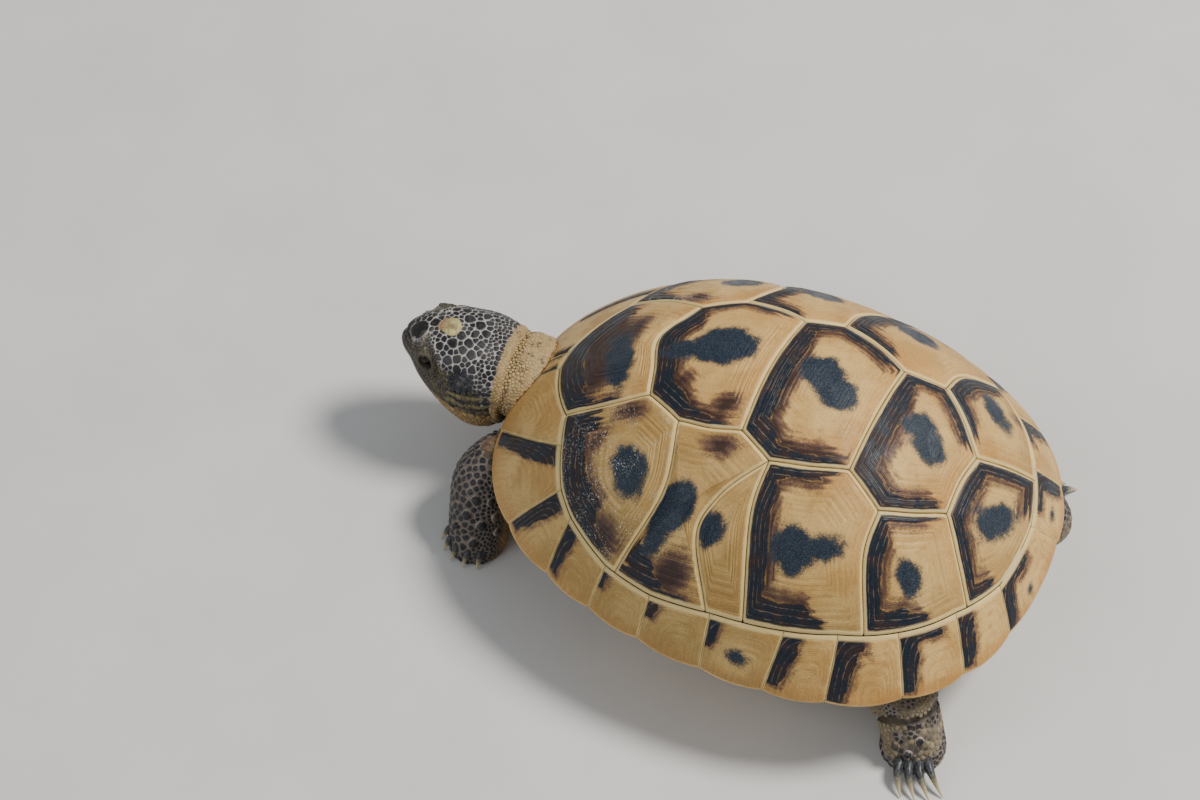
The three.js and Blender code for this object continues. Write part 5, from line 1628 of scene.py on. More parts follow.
def flesh_colours(points, owner, normal):
    """The scales' colour and the colour of the skin between them, at points."""
    noise = value_noise(points, 2.4, seed=31)
    specks = smoothstep(0.42, 0.6, value_noise(points, 1.0, seed=32))
    # Painted shade: the skin is painted a darker brown where it faces down, on the neck and between
    # the tail's scales.
    underneath = smoothstep(0.1, -0.7, normal[:, 2] + 0.3 * noise)
    scale = mixed(NECK_TAN, SPECK, 0.8 * specks)
    scale = mixed(scale, THROAT * 0.55, underneath)
    net = mixed(NECK_TAN * 0.85, THROAT * 0.35, underneath)
    head = owner == PARTS.index("head")
    scale[head], net[head] = head_colours(points[head], noise[head])
    for name, on_leg in legs_among(owner):
        scale[on_leg], net[on_leg] = leg_colours(
            name, points[on_leg], normal[on_leg], noise[on_leg], specks[on_leg])
    tail = owner == PARTS.index("tail")
    scale[tail] = mixed(NECK_TAN * 0.8, SCALE_GREY, smoothstep(0.1, 0.5, noise[tail]))
    # Painted shade: the trunk's skin, tucked under the shell, is painted darker than the neck's.
    inside = owner == PARTS.index("trunk")
    scale[inside] = NECK_TAN * 0.7
    net[inside] = NECK_TAN * 0.55
    return np.clip(scale, 0.01, 0.9), np.clip(net, 0.01, 0.9)


def skin_material():
    n = Nodes("skin", 0.6)
    colour = n.colour("tint")
    wrinkle = n.noise(0.45, 4, 0.65)
    patches = n.noise(2.2, 3)
    # Painted shade: the skin is darkened in the low furrows of its wrinkles' bump.
    colour = n.mix(n.ease(wrinkle, 0.35, 0.6, 0.35, 0), colour, WRINKLE_SHADE)
    colour = n.mix(n.ease(patches, 0.5, 0.75, 0, 0.25), colour, DRY_SKIN)
    heights = [(wrinkle, 0.10, 0.8), (n.noise(0.14, 2), 0.04, 0.4)]
    return n.finish(colour, n.ease(patches, 0.3, 0.7, 0.52, 0.72), heights)


def scale_material():
    n = Nodes("scales", 0.5)
    colour = n.colour("tint")
    grain = n.noise(0.20, 3, 0.6)
    patches = n.noise(0.9, 3)
    colour = n.mix(n.ease(patches, 0.45, 0.8, 0, 0.14), colour, SCALE_DUST)
    # Painted shade: the scales are darkened in the low pits of their grain's bump.
    colour = n.mix(n.ease(grain, 0.55, 0.3, 0, 0.3), colour, PIT_SHADE)
    frayed = n.value("crown") + (n.noise(0.35, 3, 0.6) - 0.5) * 1.2
    colour = n.mix(n.ease(frayed, 0.75, 0.3, 0, 0.75), colour, n.colour("rim_tint"))
    heights = [(grain, 0.05, 0.55), (n.noise(0.6, 3), 0.06, 0.4)]
    return n.finish(colour, n.ease(patches, 0.3, 0.7, 0.40, 0.60), heights)


# ---- The skin's mesh ---------------------------------------------------------------------------


def skin_surface():
    """The flesh field's surface as quads, finer on the head, neck, limbs and tail."""
    grid = vdb.FloatGrid()
    grid.copyFromArray(FIELD)
    points, quads = grid.convertToQuads(0.0)
    points = np.asarray(points, float) * VOXEL + GRID_LOW
    quads = np.asarray(quads, int)
    owner = part_of(points)
    fine = (owner[quads] != PARTS.index("trunk")).all(1)
    edges = np.sort(np.stack([quads, np.roll(quads, -1, 1)], -1).reshape(-1, 2), 1)
    cut = np.repeat(fine, 4)
    keys, numbers = np.unique(edges[cut], axis=0, return_inverse=True)
    middle_of = {tuple(key): len(points) + i for i, key in enumerate(keys)}
    numbers = numbers.reshape(-1, 4) + len(points)
    centres = np.arange(fine.sum()) + len(points) + len(keys)
    split = quads[fine]
    small = np.stack([
        np.stack([split[:, k], numbers[:, k], centres, numbers[:, k - 1]], -1) for k in range(4)
    ], 1).reshape(-1, 4)
    whole = []
    triangles = []
    for quad in quads[~fine]:
        loop = []
        for k in range(4):
            a, b = quad[k], quad[(k + 1) % 4]
            loop.append(a)
            middle = middle_of.get((min(a, b), max(a, b)))
            if middle is not None:
                loop.append(middle)
        if len(loop) == 4:
            whole.append(loop)
        else:
            start = next(i for i, p in enumerate(loop) if p >= len(owner))
            loop = loop[start:] + loop[:start]
            triangles += [(loop[0], loop[i], loop[i + 1]) for i in range(1, len(loop) - 1)]
    middles = points[keys].mean(1)
    centre_places = points[split].mean(1)
    points = np.vstack([points, middles, centre_places])
    quads = np.vstack([small, np.array(whole, int)])
    return points, quads, np.array(triangles, int).reshape(-1, 3)


def add_skin(material):
    points, quads, triangles = skin_surface()
    points, normal = onto_skin(points)
    owner = part_of(points)
    placed = points + normal * skin_relief(points, owner)[:, None]
    scale_colour, net_colour = flesh_colours(points, owner, normal)
    tint = mixed(net_colour, scale_colour, np.full(len(points), 0.2))
    tint = np.column_stack([tint, np.ones(len(points))])
    quads, triangles = outward(placed, quads, triangles)
    add_piece("skin", placed, quads, triangles, {"tint": tint}, material, FLESH_NODES)
    return points, normal, owner


# ---- Scales ------------------------------------------------------------------------------------
# Large plates of the head: distance ahead, to the left and up of the eye line, then the radius.

HEAD_PLATES = [
    (6.5, 0.9, 0.0, 0.8), (6.5, -0.9, 0.0, 0.8), (3.6, 1.9, 1.9, 2.7), (3.6, -1.9, 1.9, 2.7),
    (0.4, 0.1, 3.6, 1.1), (1.1, 3.3, 2.3, 0.9), (1.1, -3.3, 2.3, 0.9), (-5.9, -3.2, 4.0, 1.2),
    (-6.1, -1.0, 4.2, 1.15), (-5.8, 1.6, 4.2, 1.1),
    (-4.6, 3.9, 3.9, 1.15), (-7.0, 4.6, 3.6, 0.9), (-7.9, 2.9, 3.9, 0.95), (-8.2, 0.4, 4.1, 0.9),
    (-8.3, -2.2, 4.0, 1.0), (-6.7, 6.7, 2.7, 0.95), (-9.3, 5.2, 3.2, 0.95), (-10.2, 2.2, 3.8, 0.85),
    (-10.4, -0.6, 3.9, 0.9), (-10.3, -3.6, 3.6, 0.85), (-8.8, -5.4, 3.2, 1.0),
    (-4.4, -5.2, 3.4, 1.0), (-2.2, 5.2, 3.2, 0.95), (-2.4, -5.0, 3.4, 0.9),
    (-4.7, 7.4, 2.2, 1.0), (-4.9, -7.2, 2.2, 1.0),
    (-7.2, 8.6, 1.6, 1.0), (-7.4, -8.2, 1.6, 1.1), (-10.2, 7.9, 2.0, 0.9), (-10.2, -7.7, 2.0, 0.9),
    (-2.4, 7.2, 1.9, 0.85), (-2.6, -7.0, 1.9, 0.85),
]


def head_scale_radius(local):
    ahead, side, up = local.T
    radius = np.where(up > 1.2, 0.52, 0.50)
    radius = np.where(ahead < -11.4, 0.40, radius)
    radius = np.where((up < -2.5) & (ahead < -5.5), 0.62, radius)
    radius = np.where(up < -10.5, 0.38, radius)
    radius = radius * (1.06 + 0.38 * value_noise(local, 1.5, seed=41))
    in_patch = np.hypot(ahead - PATCH[0], side - PATCH[1]) < 2.5
    radius = np.where(in_patch & (up > 2.2), 0.62, radius)
    return np.where(eye_ring(local) < 3.2, 0.30, radius)


def head_bare(local):
    """Where the head has no scales: the eyes' openings, the lips and beak, and the eardrums."""
    ahead, side, up = local.T
    ring = eye_ring(local)
    gap = mouth_gap(local)
    beak = (gap < 1.9 + 0.16 * (ahead - 2)) & (gap > -2.6) & (ahead > -6.5)
    from_ear = np.hypot(ahead - EARDRUM[0], up - EARDRUM[1])
    drum = (from_ear < 1.2) & (np.abs(side) > HEAD_FLANK)
    return (ring < 1.45) | beak | (ahead > 6.7) | drum | (ahead < HEAD_BACK + 0.2)


def leg_scale_radius(name, along, normal):
    if name.startswith("front"):
        facing = (-0.9 * normal[:, 1] + 0.5 * normal[:, 0] * LEGS[name]["side"]
                  + 0.2 * normal[:, 2])
        large = smoothstep(0.1, 0.5, facing) * smoothstep(0.32, 0.5, along)
        return 0.42 + 0.34 * large - 0.06 * smoothstep(0.45, 0.25, along)
    return 0.35 + 0.20 * smoothstep(0.68, 0.8, along)


def pin_large(points, radius, large):
    """Sets the radius of the points nearest to the large scales' places; gives their indices."""
    pinned = []
    for *place, size in large:
        nearest = np.linalg.norm(points - place, axis=1).argmin()
        radius[nearest] = size
        pinned.append(nearest)
    return pinned


def packed_roots(points, radius, pinned, rng):
    """Roots for scales, packed at random so that they touch: indices into points."""
    alive = np.ones(len(points), bool)
    roots = []
    waiting = list(pinned)
    while alive.any():
        pick = waiting.pop(0) if waiting else rng.choice(np.flatnonzero(alive))
        if not alive[pick]:
            continue
        roots.append(pick)
        near = np.flatnonzero(alive)
        gap = np.linalg.norm(points[near] - points[pick], axis=1)
        alive[near[gap < PACKING * (radius[near] + radius[pick])]] = False
    return np.array(roots)


def tangent_axes(normal, heading):
    """Two directions along the surface for each scale, the first one nearest to its heading."""
    first = heading - normal * (heading * normal).sum(1, keepdims=True)
    first /= np.maximum(np.linalg.norm(first, axis=1, keepdims=True), 1e-6)
    return first, np.cross(normal, first)


PACKING = 0.9                       # how close two scales' roots come, in the sum of their radii
NEIGHBOURS = 14                     # how many of its neighbours shape a scale
SCALE_BLOCK = 1000                  # how many scales are measured at once, to save memory
# A scale's rings, from its foot to its crown: each one's reach and rise as parts of the scale's.
PLATE_SHAPE = {"corners": 18, "parts": (1.0, 0.96, 0.86, 0.55), "rises": (-0.6, 0.45, 0.88, 1.0)}
DOME_SHAPE = {"corners": 14, "parts": (1.0, 0.94, 0.74, 0.42), "rises": (-0.5, 0.25, 0.70, 0.93)}
GRAIN_SHAPE = {"corners": 10, "parts": (1.0, 0.84, 0.5), "rises": (-0.6, 0.6, 0.95)}


def cell_reach(roots, radius, gap, first, second, turn):
    """How far each scale reaches in each direction before the wall to a neighbour."""
    reach = np.tile((radius * 1.4)[:, None], (1, len(turn)))
    for start in range(0, len(roots), SCALE_BLOCK):
        block = slice(start, start + SCALE_BLOCK)
        away = roots[None] - roots[block, None]
        nearest = np.argsort(np.linalg.norm(away, axis=2), axis=1)[:, 1:NEIGHBOURS + 1]
        offset = np.take_along_axis(away, nearest[..., None], 1)
        right = (offset * first[block, None]).sum(2)
        up = (offset * second[block, None]).sum(2)
        length = np.maximum(np.hypot(right, up), 1e-3)
        share = radius[block, None] / (radius[block, None] + radius[nearest])
        wall = length * share - gap[block, None] / 2
        cosine = np.cos(turn[None, None] - np.arctan2(up, right)[..., None])
        limit = np.where(cosine > 0.15, wall[..., None] / np.maximum(cosine, 0.15), 99.0)
        reach[block] = np.minimum(reach[block], limit.min(1))
    smoothed = (np.roll(reach, 1, 1) + 2 * reach + np.roll(reach, -1, 1)) / 4
    return np.maximum(np.minimum(reach, smoothed), 0.1)


def scale_faces(count, ring_count, corners):
    """Faces of so many scales: rings from the foot up, a tip, and the foot closed."""
    here = np.arange(corners)
    after = (here + 1) % corners
    per_scale = ring_count * corners + 1
    last = per_scale - 1 - corners
    tips = np.stack([last + here, last + after, np.full(corners, per_scale - 1)], -1)
    base = np.stack([np.zeros(corners - 2, int), here[2:], here[1:-1]], -1)
    shift = (np.arange(count) * per_scale)[:, None, None]
    quads = (ring_quads(ring_count, corners)[None] + shift).reshape(-1, 4)
    return quads, (np.vstack([tips, base])[None] + shift).reshape(-1, 3)


def scale_meshes(roots, normal, radius, height, heading, gap, lean, point, shape):
    """Scales that fill the cells between their neighbours.

    lean lifts the edge that the heading points at; point draws the crown up to a tip there.
    """
    count, corners = len(roots), shape["corners"]
    parts, rises = np.array(shape["parts"]), np.array(shape["rises"])
    first, second = tangent_axes(normal, heading)
    turn = np.linspace(0, 2 * math.pi, corners, endpoint=False)
    reach = cell_reach(roots, radius, gap, first, second, turn)
    spokes = (np.cos(turn)[None, :, None] * first[:, None]
              + np.sin(turn)[None, :, None] * second[:, None])
    spread = parts[None, :, None, None] * (reach[..., None] * spokes)[:, None]
    rings = roots[:, None, None] + spread
    places, directions = (moved.reshape(rings.shape)
                          for moved in onto_skin(rings.reshape(-1, 3), rounds=2))
    distal = parts[None, :, None] * np.cos(turn)[None, None]
    above = (rises > 0)[None, :, None]
    lifted = rises[None, :, None] + above * lean[:, None, None] * distal
    drawn = point[:, None, None] * (1 - parts[None, :, None]) * above
    places = (places + directions * (height[:, None, None] * lifted)[..., None]
              + drawn[..., None] * (directions + 0.5 * first[:, None, None]))
    crown = (roots + normal * (height * 1.04)[:, None]
             + (normal + first * 0.5) * point[:, None])
    points = np.concatenate([places.reshape(count, -1, 3), crown[:, None]], 1).reshape(-1, 3)
    quads, triangles = scale_faces(count, len(parts), corners)
    crown_part = np.concatenate([np.repeat(np.clip(rises, 0, 1), corners), [1.0]])
    around = np.stack([np.cos(turn), np.sin(turn)], -1)
    local = np.concatenate([(parts[:, None, None] * around[None]).reshape(-1, 2), [[0, 0]]])
    return points, quads, triangles, np.tile(crown_part, count), local


UV_PATCH = 0.003                    # how wide a scale's patch of the OFBake map is
UV_BORDER = 0.02                    # how much of the map stays free along each side
SHADE_SPREAD = 0.13                 # how much lighter or darker one scale is than another
HUE_SPREAD = 0.03


def add_scales(name, roots, normal, radius, height, heading, unwrap, material, rng,
               gap=0.12, lean=0.0, point=0.0, shape=PLATE_SHAPE, rim_gain=1.0):
    count = len(roots)
    height, gap, lean, point, rim_gain = (np.broadcast_to(np.asarray(value, float), (count,))
                                          for value in (height, gap, lean, point, rim_gain))
    points, quads, triangles, crown, local = scale_meshes(
        roots, normal, radius, height, heading, gap, lean, point, shape)
    owner = part_of(roots)
    colour, net = flesh_colours(roots, owner, normal)
    net = np.clip(net * rim_gain[:, None], 0.01, 0.9)
    shade = rng.normal(1.0, SHADE_SPREAD, (count, 1)) * rng.normal(1.0, HUE_SPREAD, (count, 3))
    colour = np.clip(colour * np.clip(shade, 0.6, 1.45), 0.008, 0.9)
    per_scale = len(points) // count
    on_head = np.repeat(owner == PARTS.index("head"), per_scale)
    paints = []
    for flat in (colour, net):
        paint = np.ones((len(points), 4))
        paint[:, :3] = np.repeat(flat, per_scale, axis=0)
        paint[on_head, :3] = head_marks(points[on_head], paint[on_head, :3])
        paints.append(paint)
    low, high = unwrap.min(0), unwrap.max(0)
    placed = UV_BORDER + (1 - 2 * UV_BORDER) * (unwrap - low) / np.maximum(high - low, 1e-6)
    uv = np.repeat(placed, per_scale, axis=0) + np.tile(local * UV_PATCH / 2, (count, 1))
    quads, triangles = outward(points, quads, triangles)
    values = {"tint": paints[0], "rim_tint": paints[1], "crown": crown}
    add_piece(name, points, quads, triangles, values, material, uv=uv)


# ---- Beak, eyes and claws ----------------------------------------------------------------------


UPPER_BEAK = ((0.020, 0.017, 0.014), (0.075, 0.060, 0.038))
LOWER_BEAK = ((0.060, 0.045, 0.026), (0.17, 0.125, 0.065))
BEAK_BORDER = (0.035, 0.026, 0.018)
CLAW_DARK = ((0.018, 0.020, 0.024), (0.070, 0.074, 0.078))
CLAW_TIP = (0.50, 0.42, 0.24)
PUPIL = (0.002, 0.002, 0.002)
IRIS = ((0.010, 0.006, 0.004), (0.030, 0.017, 0.009))
EYEBALL = (0.012, 0.009, 0.008)


def beak_material():
    n = Nodes("beak_horn", 0.4)
    streaks = n.noise(0.6, 4, 0.6, 0.8)
    upper = n.mix(n.ease(streaks, 0.35, 0.65), *UPPER_BEAK)
    lower = n.mix(n.ease(streaks, 0.35, 0.65), *LOWER_BEAK)
    colour = n.mix(n.value("low"), upper, lower)
    colour = n.mix(n.ease(n.value("border"), 0.25, 0.0, 0, 0.6), colour, BEAK_BORDER)
    return n.finish(colour, n.ease(streaks, 0.3, 0.7, 0.32, 0.5), [(streaks, 0.06, 0.5)])


def claw_material():
    n = Nodes("claw_horn", 0.35)
    streaks = n.noise(0.5, 4, 0.6, 0.5)
    base = n.mix(n.ease(streaks, 0.35, 0.65), *CLAW_DARK)
    to_tip = n.value("tip") + (streaks - 0.5) * 0.25
    colour = n.mix(n.ease(to_tip, 0.52, 0.95), base, CLAW_TIP)
    return n.finish(colour, n.ease(streaks, 0.3, 0.7, 0.26, 0.45), [(streaks, 0.05, 0.4)])


def eye_material():
    n = Nodes("eye_wet", 0.06)
    off_axis = n.value("off_axis")
    fleck = n.noise(0.25, 4, 0.7)
    iris = n.mix(n.ease(fleck, 0.35, 0.65), *IRIS)
    colour = n.mix(n.ease(off_axis, 0.26, 0.32), PUPIL, iris)
    colour = n.mix(n.ease(off_axis, 0.66, 0.80), colour, EYEBALL)
    return n.finish(colour, None, [(fleck, 0.01, 0.1)])


def surface_along(origin, direction):
    """Where rays from inside the flesh leave it."""
    near = np.zeros(len(origin))
    far = np.full(len(origin), 17.0)
    for _ in range(18):
        middle = (near + far) / 2
        inside = field_at(origin + direction * middle[:, None])[0] < 0
        near = np.where(inside, middle, near)
        far = np.where(inside, far, middle)
    return origin + direction * near[:, None]


BEAK_CENTRE_AHEAD = -1.5            # from here, between the eyes, the horn is laid out
BEAK_TURN = math.radians(112)       # how far back round each side the horn reaches
BEAK_THICKNESS = 0.2
BEAK_ROOT = 0.7                     # how deep under the skin the horn's back lies


def beak_origins(heights):
    """Places on an upright line inside the beak, at heights from the eye line."""
    ahead = np.full(len(heights), BEAK_CENTRE_AHEAD)
    return from_head(np.stack([ahead, np.zeros(len(heights)), heights], -1))


def beak_piece(name, is_upper, material):
    """One jaw's horn: columns of places round the mouth, pushed out a little from the skin."""
    columns, rows = 90, 12
    bearing = np.linspace(-BEAK_TURN, BEAK_TURN, columns)
    rings = np.zeros((columns, 2 * rows, 3))
    direction = np.cos(bearing)[:, None] * HEAD_AHEAD + np.sin(bearing)[:, None] * HEAD_SIDE
    level = np.full(columns, -6.0)
    front = bump_at(bearing, math.radians(14))
    for _ in range(3):
        ahead = to_head(surface_along(beak_origins(level), direction))[:, 0]
        level = np.interp(ahead, MOUTH_LINE[::-1, 0], MOUTH_LINE[::-1, 1])
    back = smoothstep(6, -6, ahead)
    if is_upper:
        foot = level - 0.02 - 0.45 * front
        head_edge = level + lerp(1.75, 1.2, back)
    else:
        foot = level - 0.25 - 0.45 * front
        head_edge = level - lerp(2.2, 1.3, back)
    fade = smoothstep(0, 0.12, (BEAK_TURN - np.abs(bearing)) / BEAK_TURN)
    head_edge = lerp(lerp(foot, head_edge, 0.35), head_edge, fade)
    for row in range(rows):
        part = row / (rows - 1)
        place = surface_along(beak_origins(lerp(foot, head_edge, part)), direction)
        swell = BEAK_THICKNESS * (1 - (2 * part - 1) ** 4) ** 0.5
        rings[:, row] = place + direction * (swell - 0.02 + 0.14 * front * (1 - part))[:, None]
        rings[:, 2 * rows - 1 - row] = place - direction * BEAK_ROOT
    points, quads, triangles = closed_loft(rings)
    quads, triangles = outward(points, quads, triangles)
    border = np.concatenate([np.linspace(0, 1, rows), np.zeros(rows)])
    values = {"low": np.full(len(points), 0.0 if is_upper else 1.0),
              "border": np.concatenate([np.tile(border, columns), [0, 0]])}
    add_piece(name, points, quads, triangles, values, material, sharp_degrees=60)


GAZE = (0.93, 0.33, 0.12)           # where the eyes look: to the side, ahead and up
CORNEA = 0.10                       # how far the clear front stands out


def eye_piece(side, material):
    name = "eye_left" if side > 0 else "eye_right"
    low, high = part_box(name)
    centre = (np.array(low) + np.array(high)) / 2 / MM - (0, ROW_SHIFT_Y, 0)
    axis = HEAD_SIDE * side * GAZE[0] + HEAD_AHEAD * GAZE[1] + UP * GAZE[2]
    axis /= np.linalg.norm(axis)
    first = np.cross(axis, UP)
    first /= np.linalg.norm(first)
    second = np.cross(axis, first)
    ring_count, size = 40, 48
    polar = np.linspace(0.03, math.pi - 0.03, ring_count)
    turn = np.linspace(0, 2 * math.pi, size, endpoint=False)
    reach = EYE_RADIUS - 0.05 + CORNEA * smoothstep(0.75, 0.35, polar)
    rings = (centre + (reach * np.cos(polar))[:, None, None] * axis
             + (reach * np.sin(polar))[:, None, None]
             * (np.cos(turn)[None, :, None] * first + np.sin(turn)[None, :, None] * second))
    points, quads, triangles = closed_loft(rings)
    quads, triangles = outward(points, quads, triangles)
    off_axis = np.concatenate([np.repeat(polar, size), [0, math.pi]])
    add_piece(f"{name}_ball", points, quads, triangles, {"off_axis": off_axis}, material,
              [name])


def claw_ends(name):
    """The root and the tip of each of a foot's claws."""
    leg = LEGS[name]
    side, claws = leg["side"], leg["claws"]
    foot = leg["stations"][-1][:2]
    for i in range(claws["count"]):
        fan = claws["spread"] * (i / (claws["count"] - 1) - 0.5)
        root = math.radians(claws["heading"] + fan)
        aim = math.radians(claws["heading"] + fan * 0.45)
        base = np.array([math.cos(root) * side, math.sin(root)]) * claws["reach"]
        reach = np.array([math.cos(aim) * side, math.sin(aim)]) * claws["length"]
        yield np.array([*(foot + base), 2.5]), np.array([*(foot + base + reach), 0.4])


CLAW_ARCH = 1.1                     # how far a claw arches up, in its radii at the root
CLAW_BOW = 0.45                     # how far a hind claw bows forward, in the same
CLAW_HOOK = 0.9                     # how far its tip hooks back


def claws_piece(name, material):
    radius = LEGS[name]["claws"]["radius"]
    ring_count, size = 26, 16
    turn = np.linspace(0, 2 * math.pi, size, endpoint=False)
    all_points, all_quads, all_triangles, all_tips = [], [], [], []
    count = 0
    for base, tip in claw_ends(name):
        part = np.linspace(0, 1, ring_count) ** 0.9
        middle = base + (tip - base) * part[:, None]
        middle[:, 2] += CLAW_ARCH * np.sin(math.pi * part) * radius
        if name.startswith("hind"):
            middle[:, 1] += (CLAW_HOOK * part**2.5 - CLAW_BOW * np.sin(math.pi * part)) * radius
        forward = np.gradient(middle, axis=0)
        forward /= np.linalg.norm(forward, axis=1, keepdims=True)
        across = np.cross(forward, UP)
        across /= np.linalg.norm(across, axis=1, keepdims=True)
        tall = np.cross(across, forward)
        thick = radius * (1.08 - 0.98 * part**1.3)
        flat = np.where(np.sin(turn) < 0, 0.62, 0.95)
        ridge = 1 + 0.10 * bump_at(turn - math.pi / 2, 0.35)
        wide = thick[:, None] * np.cos(turn) * 0.92
        high = thick[:, None] * np.sin(turn) * flat * ridge
        rings = (middle[:, None] + wide[..., None] * across[:, None]
                 + high[..., None] * tall[:, None])
        rings[..., 2] = np.maximum(rings[..., 2], 0.05)
        points, quads, triangles = closed_loft(rings)
        quads, triangles = outward(points - base, quads, triangles)
        all_points.append(points)
        all_quads.append(quads + count)
        all_triangles.append(triangles + count)
        all_tips.append(np.concatenate([np.repeat(part, size), [0, 1]]))
        count += len(points)
    add_piece(f"claws_{name}", np.vstack(all_points), np.vstack(all_quads),
              np.vstack(all_triangles), {"tip": np.concatenate(all_tips)}, material)


# ---- Building the flesh ------------------------------------------------------------------------

# For the packing and the shades of each part's scales; the second leg has LEG_SEED + 1.
HEAD_SEED, NECK_SEED, TAIL_SEED, LEG_SEED = 11, 12, 17, 20

SKIN = skin_material()
SCALES = scale_material()
skin_points, skin_normal, skin_owner = add_skin(SKIN)


def region(name, extra):
    """The skin's points, with their outward directions, on a part and where extra holds."""
    chosen = (skin_owner == PARTS.index(name)) & extra
    return skin_points[chosen], skin_normal[chosen]


def add_head_scales():
    rng = np.random.default_rng(HEAD_SEED)
    points, normal = region("head", ~head_bare(to_head(skin_points)))
    local = to_head(points)
    radius = head_scale_radius(local)
    roots = packed_roots(points, radius, pin_large(local, radius, HEAD_PLATES), rng)
    points, normal, local, sizes = points[roots], normal[roots], local[roots], radius[roots]
    height = np.clip(0.11 + 0.05 * sizes, 0.12, 0.20)
    height = height + np.maximum(part_relief("head", points), 0)
    from_patch = np.hypot(local[:, 0] - PATCH[0], local[:, 1] - PATCH[1])
    height = np.where((from_patch < 2.6) & (local[:, 2] > 2.2), 0.07, height)
    heading = np.tile(-HEAD_AHEAD, (len(roots), 1))
    unwrap = np.column_stack([np.arctan2(local[:, 1], local[:, 2] + 7), local[:, 0]])
    add_scales("scales_head", points, normal, sizes, height, heading, unwrap, SCALES,
               rng, gap=np.where(sizes > 0.7, 0.13, 0.09), lean=0.05)


def add_neck_scales():
    rng = np.random.default_rng(NECK_SEED)
    points, normal = region("neck", skin_points[:, 1] < -43)
    radius = np.full(len(points), 0.31)
    along, around, heading = LIMBS["neck"].place(points)
    roots = packed_roots(points, radius, [], rng)
    height = 0.08 + np.maximum(part_relief("neck", points[roots]), 0)
    add_scales("scales_neck", points[roots], normal[roots], radius[roots], height,
               heading[roots], np.column_stack([around, along])[roots], SCALES, rng,
               gap=0.07, lean=0.15, shape=GRAIN_SHAPE)


# Spurs standing out of a limb's scales: their place in the shell's frame, and their radius.
SPURS = {
    "front_leg_left": [
        (26.1, -54.9, 14.5, 1.25), (28.2, -52.7, 9.7, 1.35), (28.4, -56, 11.8, 1.2),
        (24.7, -52.2, 14, 1.0), (25.4, -50.9, 10.5, 1.1), (26.3, -50, 6.8, 1.1),
        (29.5, -57.5, 8.6, 1.1), (30.4, -53.4, 6.2, 1.2),
    ],
    "front_leg_right": [
        (-27, -55, 13, 1.2), (-28.5, -53, 9.5, 1.3), (-29, -56.5, 10.5, 1.1), (-26, -51, 7, 1.1),
    ],
    "hind_leg_left": [(37.4, 44, 6.4, 1.0), (35.5, 48.3, 8.2, 1.0), (38.3, 47, 5.6, 0.9)],
    "hind_leg_right": [(-36, 46, 6.4, 1.0), (-37, 42, 6.2, 0.9)],
}


def add_leg_scales(name, seed):
    """A leg's scales, from just under the shell's edge to the floor, left out in its creases."""
    rng = np.random.default_rng(seed)
    _, out = dome_place(skin_points[:, 0], skin_points[:, 1])
    points, normal = region(name, (out > 0.74) & (skin_points[:, 2] > 0.35))
    uncreased = part_relief(name, points) > -0.22
    points, normal = points[uncreased], normal[uncreased]
    along, around, heading = LIMBS[name].place(points)
    radius = leg_scale_radius(name, along, normal)
    spurs = pin_large(points, radius, SPURS[name])
    roots = packed_roots(points, radius, spurs, rng)
    sizes = radius[roots]
    spur = np.isin(roots, spurs)
    height = 0.10 + 0.12 * sizes + np.maximum(part_relief(name, points[roots]), 0)
    height = np.where(spur, 0.55 * sizes, height)
    lean = 0.4 if name.startswith("front") else 0.25
    add_scales(f"scales_{name}", points[roots], normal[roots], sizes, height, heading[roots],
               np.column_stack([around, along])[roots], SCALES, rng, gap=0.11,
               lean=np.where(spur, 0.1, lean), point=np.where(spur, 0.35, 0.0),
               shape=DOME_SHAPE, rim_gain=np.where(spur, 2.0, 1.0))


def add_tail_scales():
    rng = np.random.default_rng(TAIL_SEED)
    points, normal = region("tail", skin_points[:, 1] > 44)
    radius = np.full(len(points), 0.45)
    along, around, heading = LIMBS["tail"].place(points)
    roots = packed_roots(points, radius, [], rng)
    add_scales("scales_tail", points[roots], normal[roots], radius[roots], 0.18, heading[roots],
               np.column_stack([around, along])[roots], SCALES, rng, gap=0.09,
               lean=0.3, shape=DOME_SHAPE)


add_head_scales()
add_neck_scales()
for number, leg_name in enumerate(LEGS):
    add_leg_scales(leg_name, LEG_SEED + number)
add_tail_scales()
BEAK = beak_material()
beak_piece("beak_upper", True, BEAK)
beak_piece("beak_lower", False, BEAK)
EYE_WET = eye_material()
for side in (1, -1):
    eye_piece(side, EYE_WET)
CLAW = claw_material()
for leg_name in LEGS:
    claws_piece(leg_name, CLAW)


# ---- Floor, light and camera -------------------------------------------------------------------


FLOOR_HALF = 3.0                    # in metres
FLOOR_GREYS = ((0.60, 0.59, 0.575), (0.64, 0.63, 0.615))
LIT_POINT = (0, 0, 0.03)
KEY_COLOUR = (1.0, 0.96, 0.90)
FILL_COLOUR = (0.93, 0.96, 1.0)
SKY_COLOUR = (0.90, 0.95, 1.0, 1)
SKY_STRENGTH = 0.36


def floor_material():
    n = Nodes("studio_floor", 0.9)
    return n.finish(n.mix(n.ease(n.noise(40, 4), 0.3, 0.7), *FLOOR_GREYS))


def add_floor():
    mesh = bpy.data.meshes.new("floor")
    half = FLOOR_HALF
    corners = [(-half, -half, 0), (half, -half, 0), (half, half, 0), (-half, half, 0)]
    mesh.from_pydata(corners, [], [(0, 1, 2, 3)])
    mesh.materials.append(floor_material())
    floor = bpy.data.objects.new("floor", mesh)
    bpy.context.scene.collection.objects.link(floor)


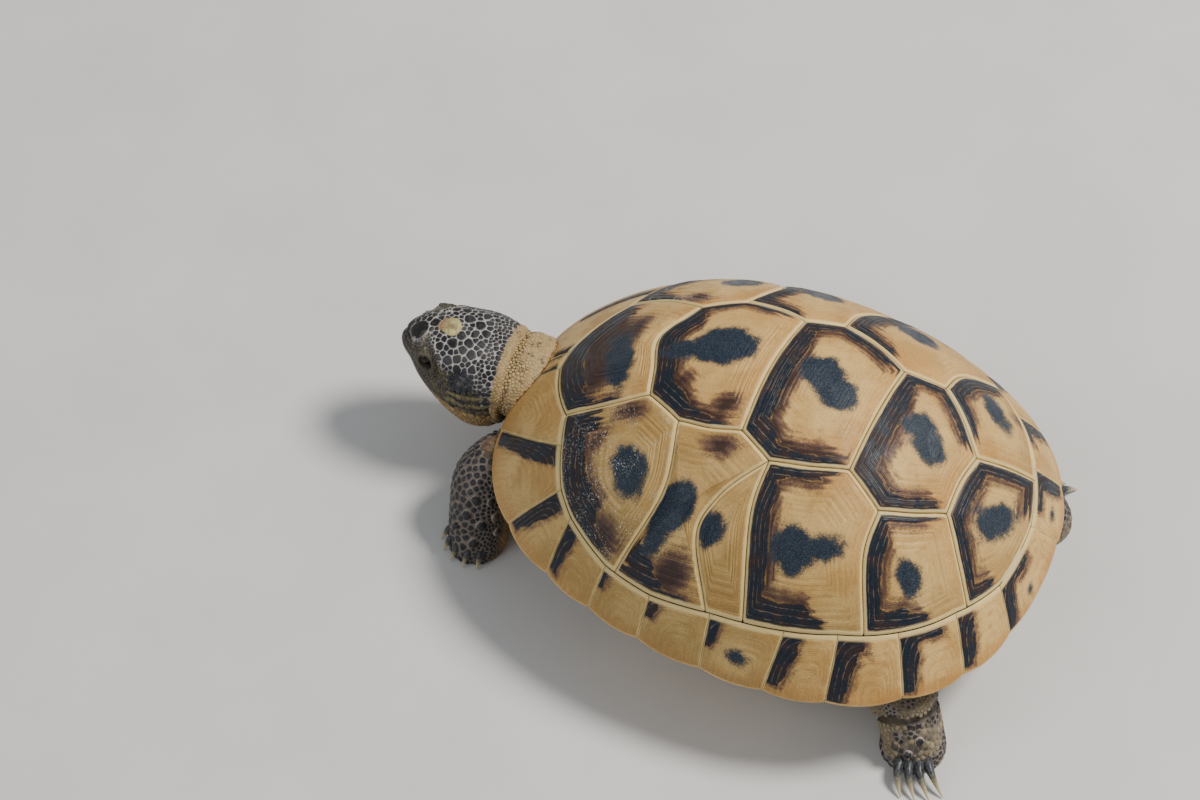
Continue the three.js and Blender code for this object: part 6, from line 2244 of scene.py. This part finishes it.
def add_light(name, place, size, power, colour):
    """An area light at a place in metres, facing LIT_POINT, of a size in metres, in watts."""
    data = bpy.data.lights.new(name, "AREA")
    data.shape = "DISK"
    data.size = size
    data.energy = power
    data.color = colour
    light = bpy.data.objects.new(name, data)
    light.location = place
    aim = np.array(LIT_POINT, float) - place
    light.rotation_euler = Vector(aim).to_track_quat("-Z", "Y").to_euler()
    bpy.context.scene.collection.objects.link(light)


# The camera stands off a point over the shell's middle: which way it looks from, how far away,
# how much it leans, and its lens. It's then aimed beside that point, by so much to its left and up.
CAMERA_ANCHOR = np.array([0, ROW_SHIFT_Y, 30.0])
CAMERA_DISTANCE = 1000.0
CAMERA_YAW = math.radians(-20.97)
CAMERA_RISE = math.radians(53.90)
CAMERA_LEAN = math.radians(-4.43)
CAMERA_LENS = 148.5
SENSOR = 36.0
AIM_LEFT = 35.9
AIM_UP = 12.25


def add_camera():
    back = np.array([math.cos(CAMERA_YAW) * math.cos(CAMERA_RISE),
                     -math.sin(CAMERA_YAW) * math.cos(CAMERA_RISE), math.sin(CAMERA_RISE)])
    level_right = np.array([math.sin(CAMERA_YAW), math.cos(CAMERA_YAW), 0])
    level_up = np.cross(back, level_right)
    right = math.cos(CAMERA_LEAN) * level_right - math.sin(CAMERA_LEAN) * level_up
    up = math.sin(CAMERA_LEAN) * level_right + math.cos(CAMERA_LEAN) * level_up
    place = CAMERA_ANCHOR + back * CAMERA_DISTANCE
    away = place - (CAMERA_ANCHOR - right * AIM_LEFT + up * AIM_UP)
    away /= np.linalg.norm(away)
    right = np.cross(up, away)
    right /= np.linalg.norm(right)
    up = np.cross(away, right)
    data = bpy.data.cameras.new("camera")
    data.sensor_width = SENSOR
    data.lens = CAMERA_LENS
    data.clip_start = 0.01
    camera = bpy.data.objects.new("camera", data)
    turn = np.eye(4)
    turn[:3, 0], turn[:3, 1], turn[:3, 2], turn[:3, 3] = right, up, away, place * MM
    camera.matrix_world = Matrix(turn)
    bpy.context.scene.collection.objects.link(camera)
    bpy.context.scene.camera = camera


add_floor()
add_light("key", (-0.35, 0.55, 1.0), size=0.35, power=19, colour=KEY_COLOUR)
add_light("fill", (0.9, -0.6, 0.8), size=0.9, power=4.5, colour=FILL_COLOUR)
world = bpy.data.worlds.new("studio")
world.use_nodes = True
sky = world.node_tree.nodes["Background"].inputs
sky["Color"].default_value = SKY_COLOUR
sky["Strength"].default_value = SKY_STRENGTH
bpy.context.scene.world = world
add_camera()
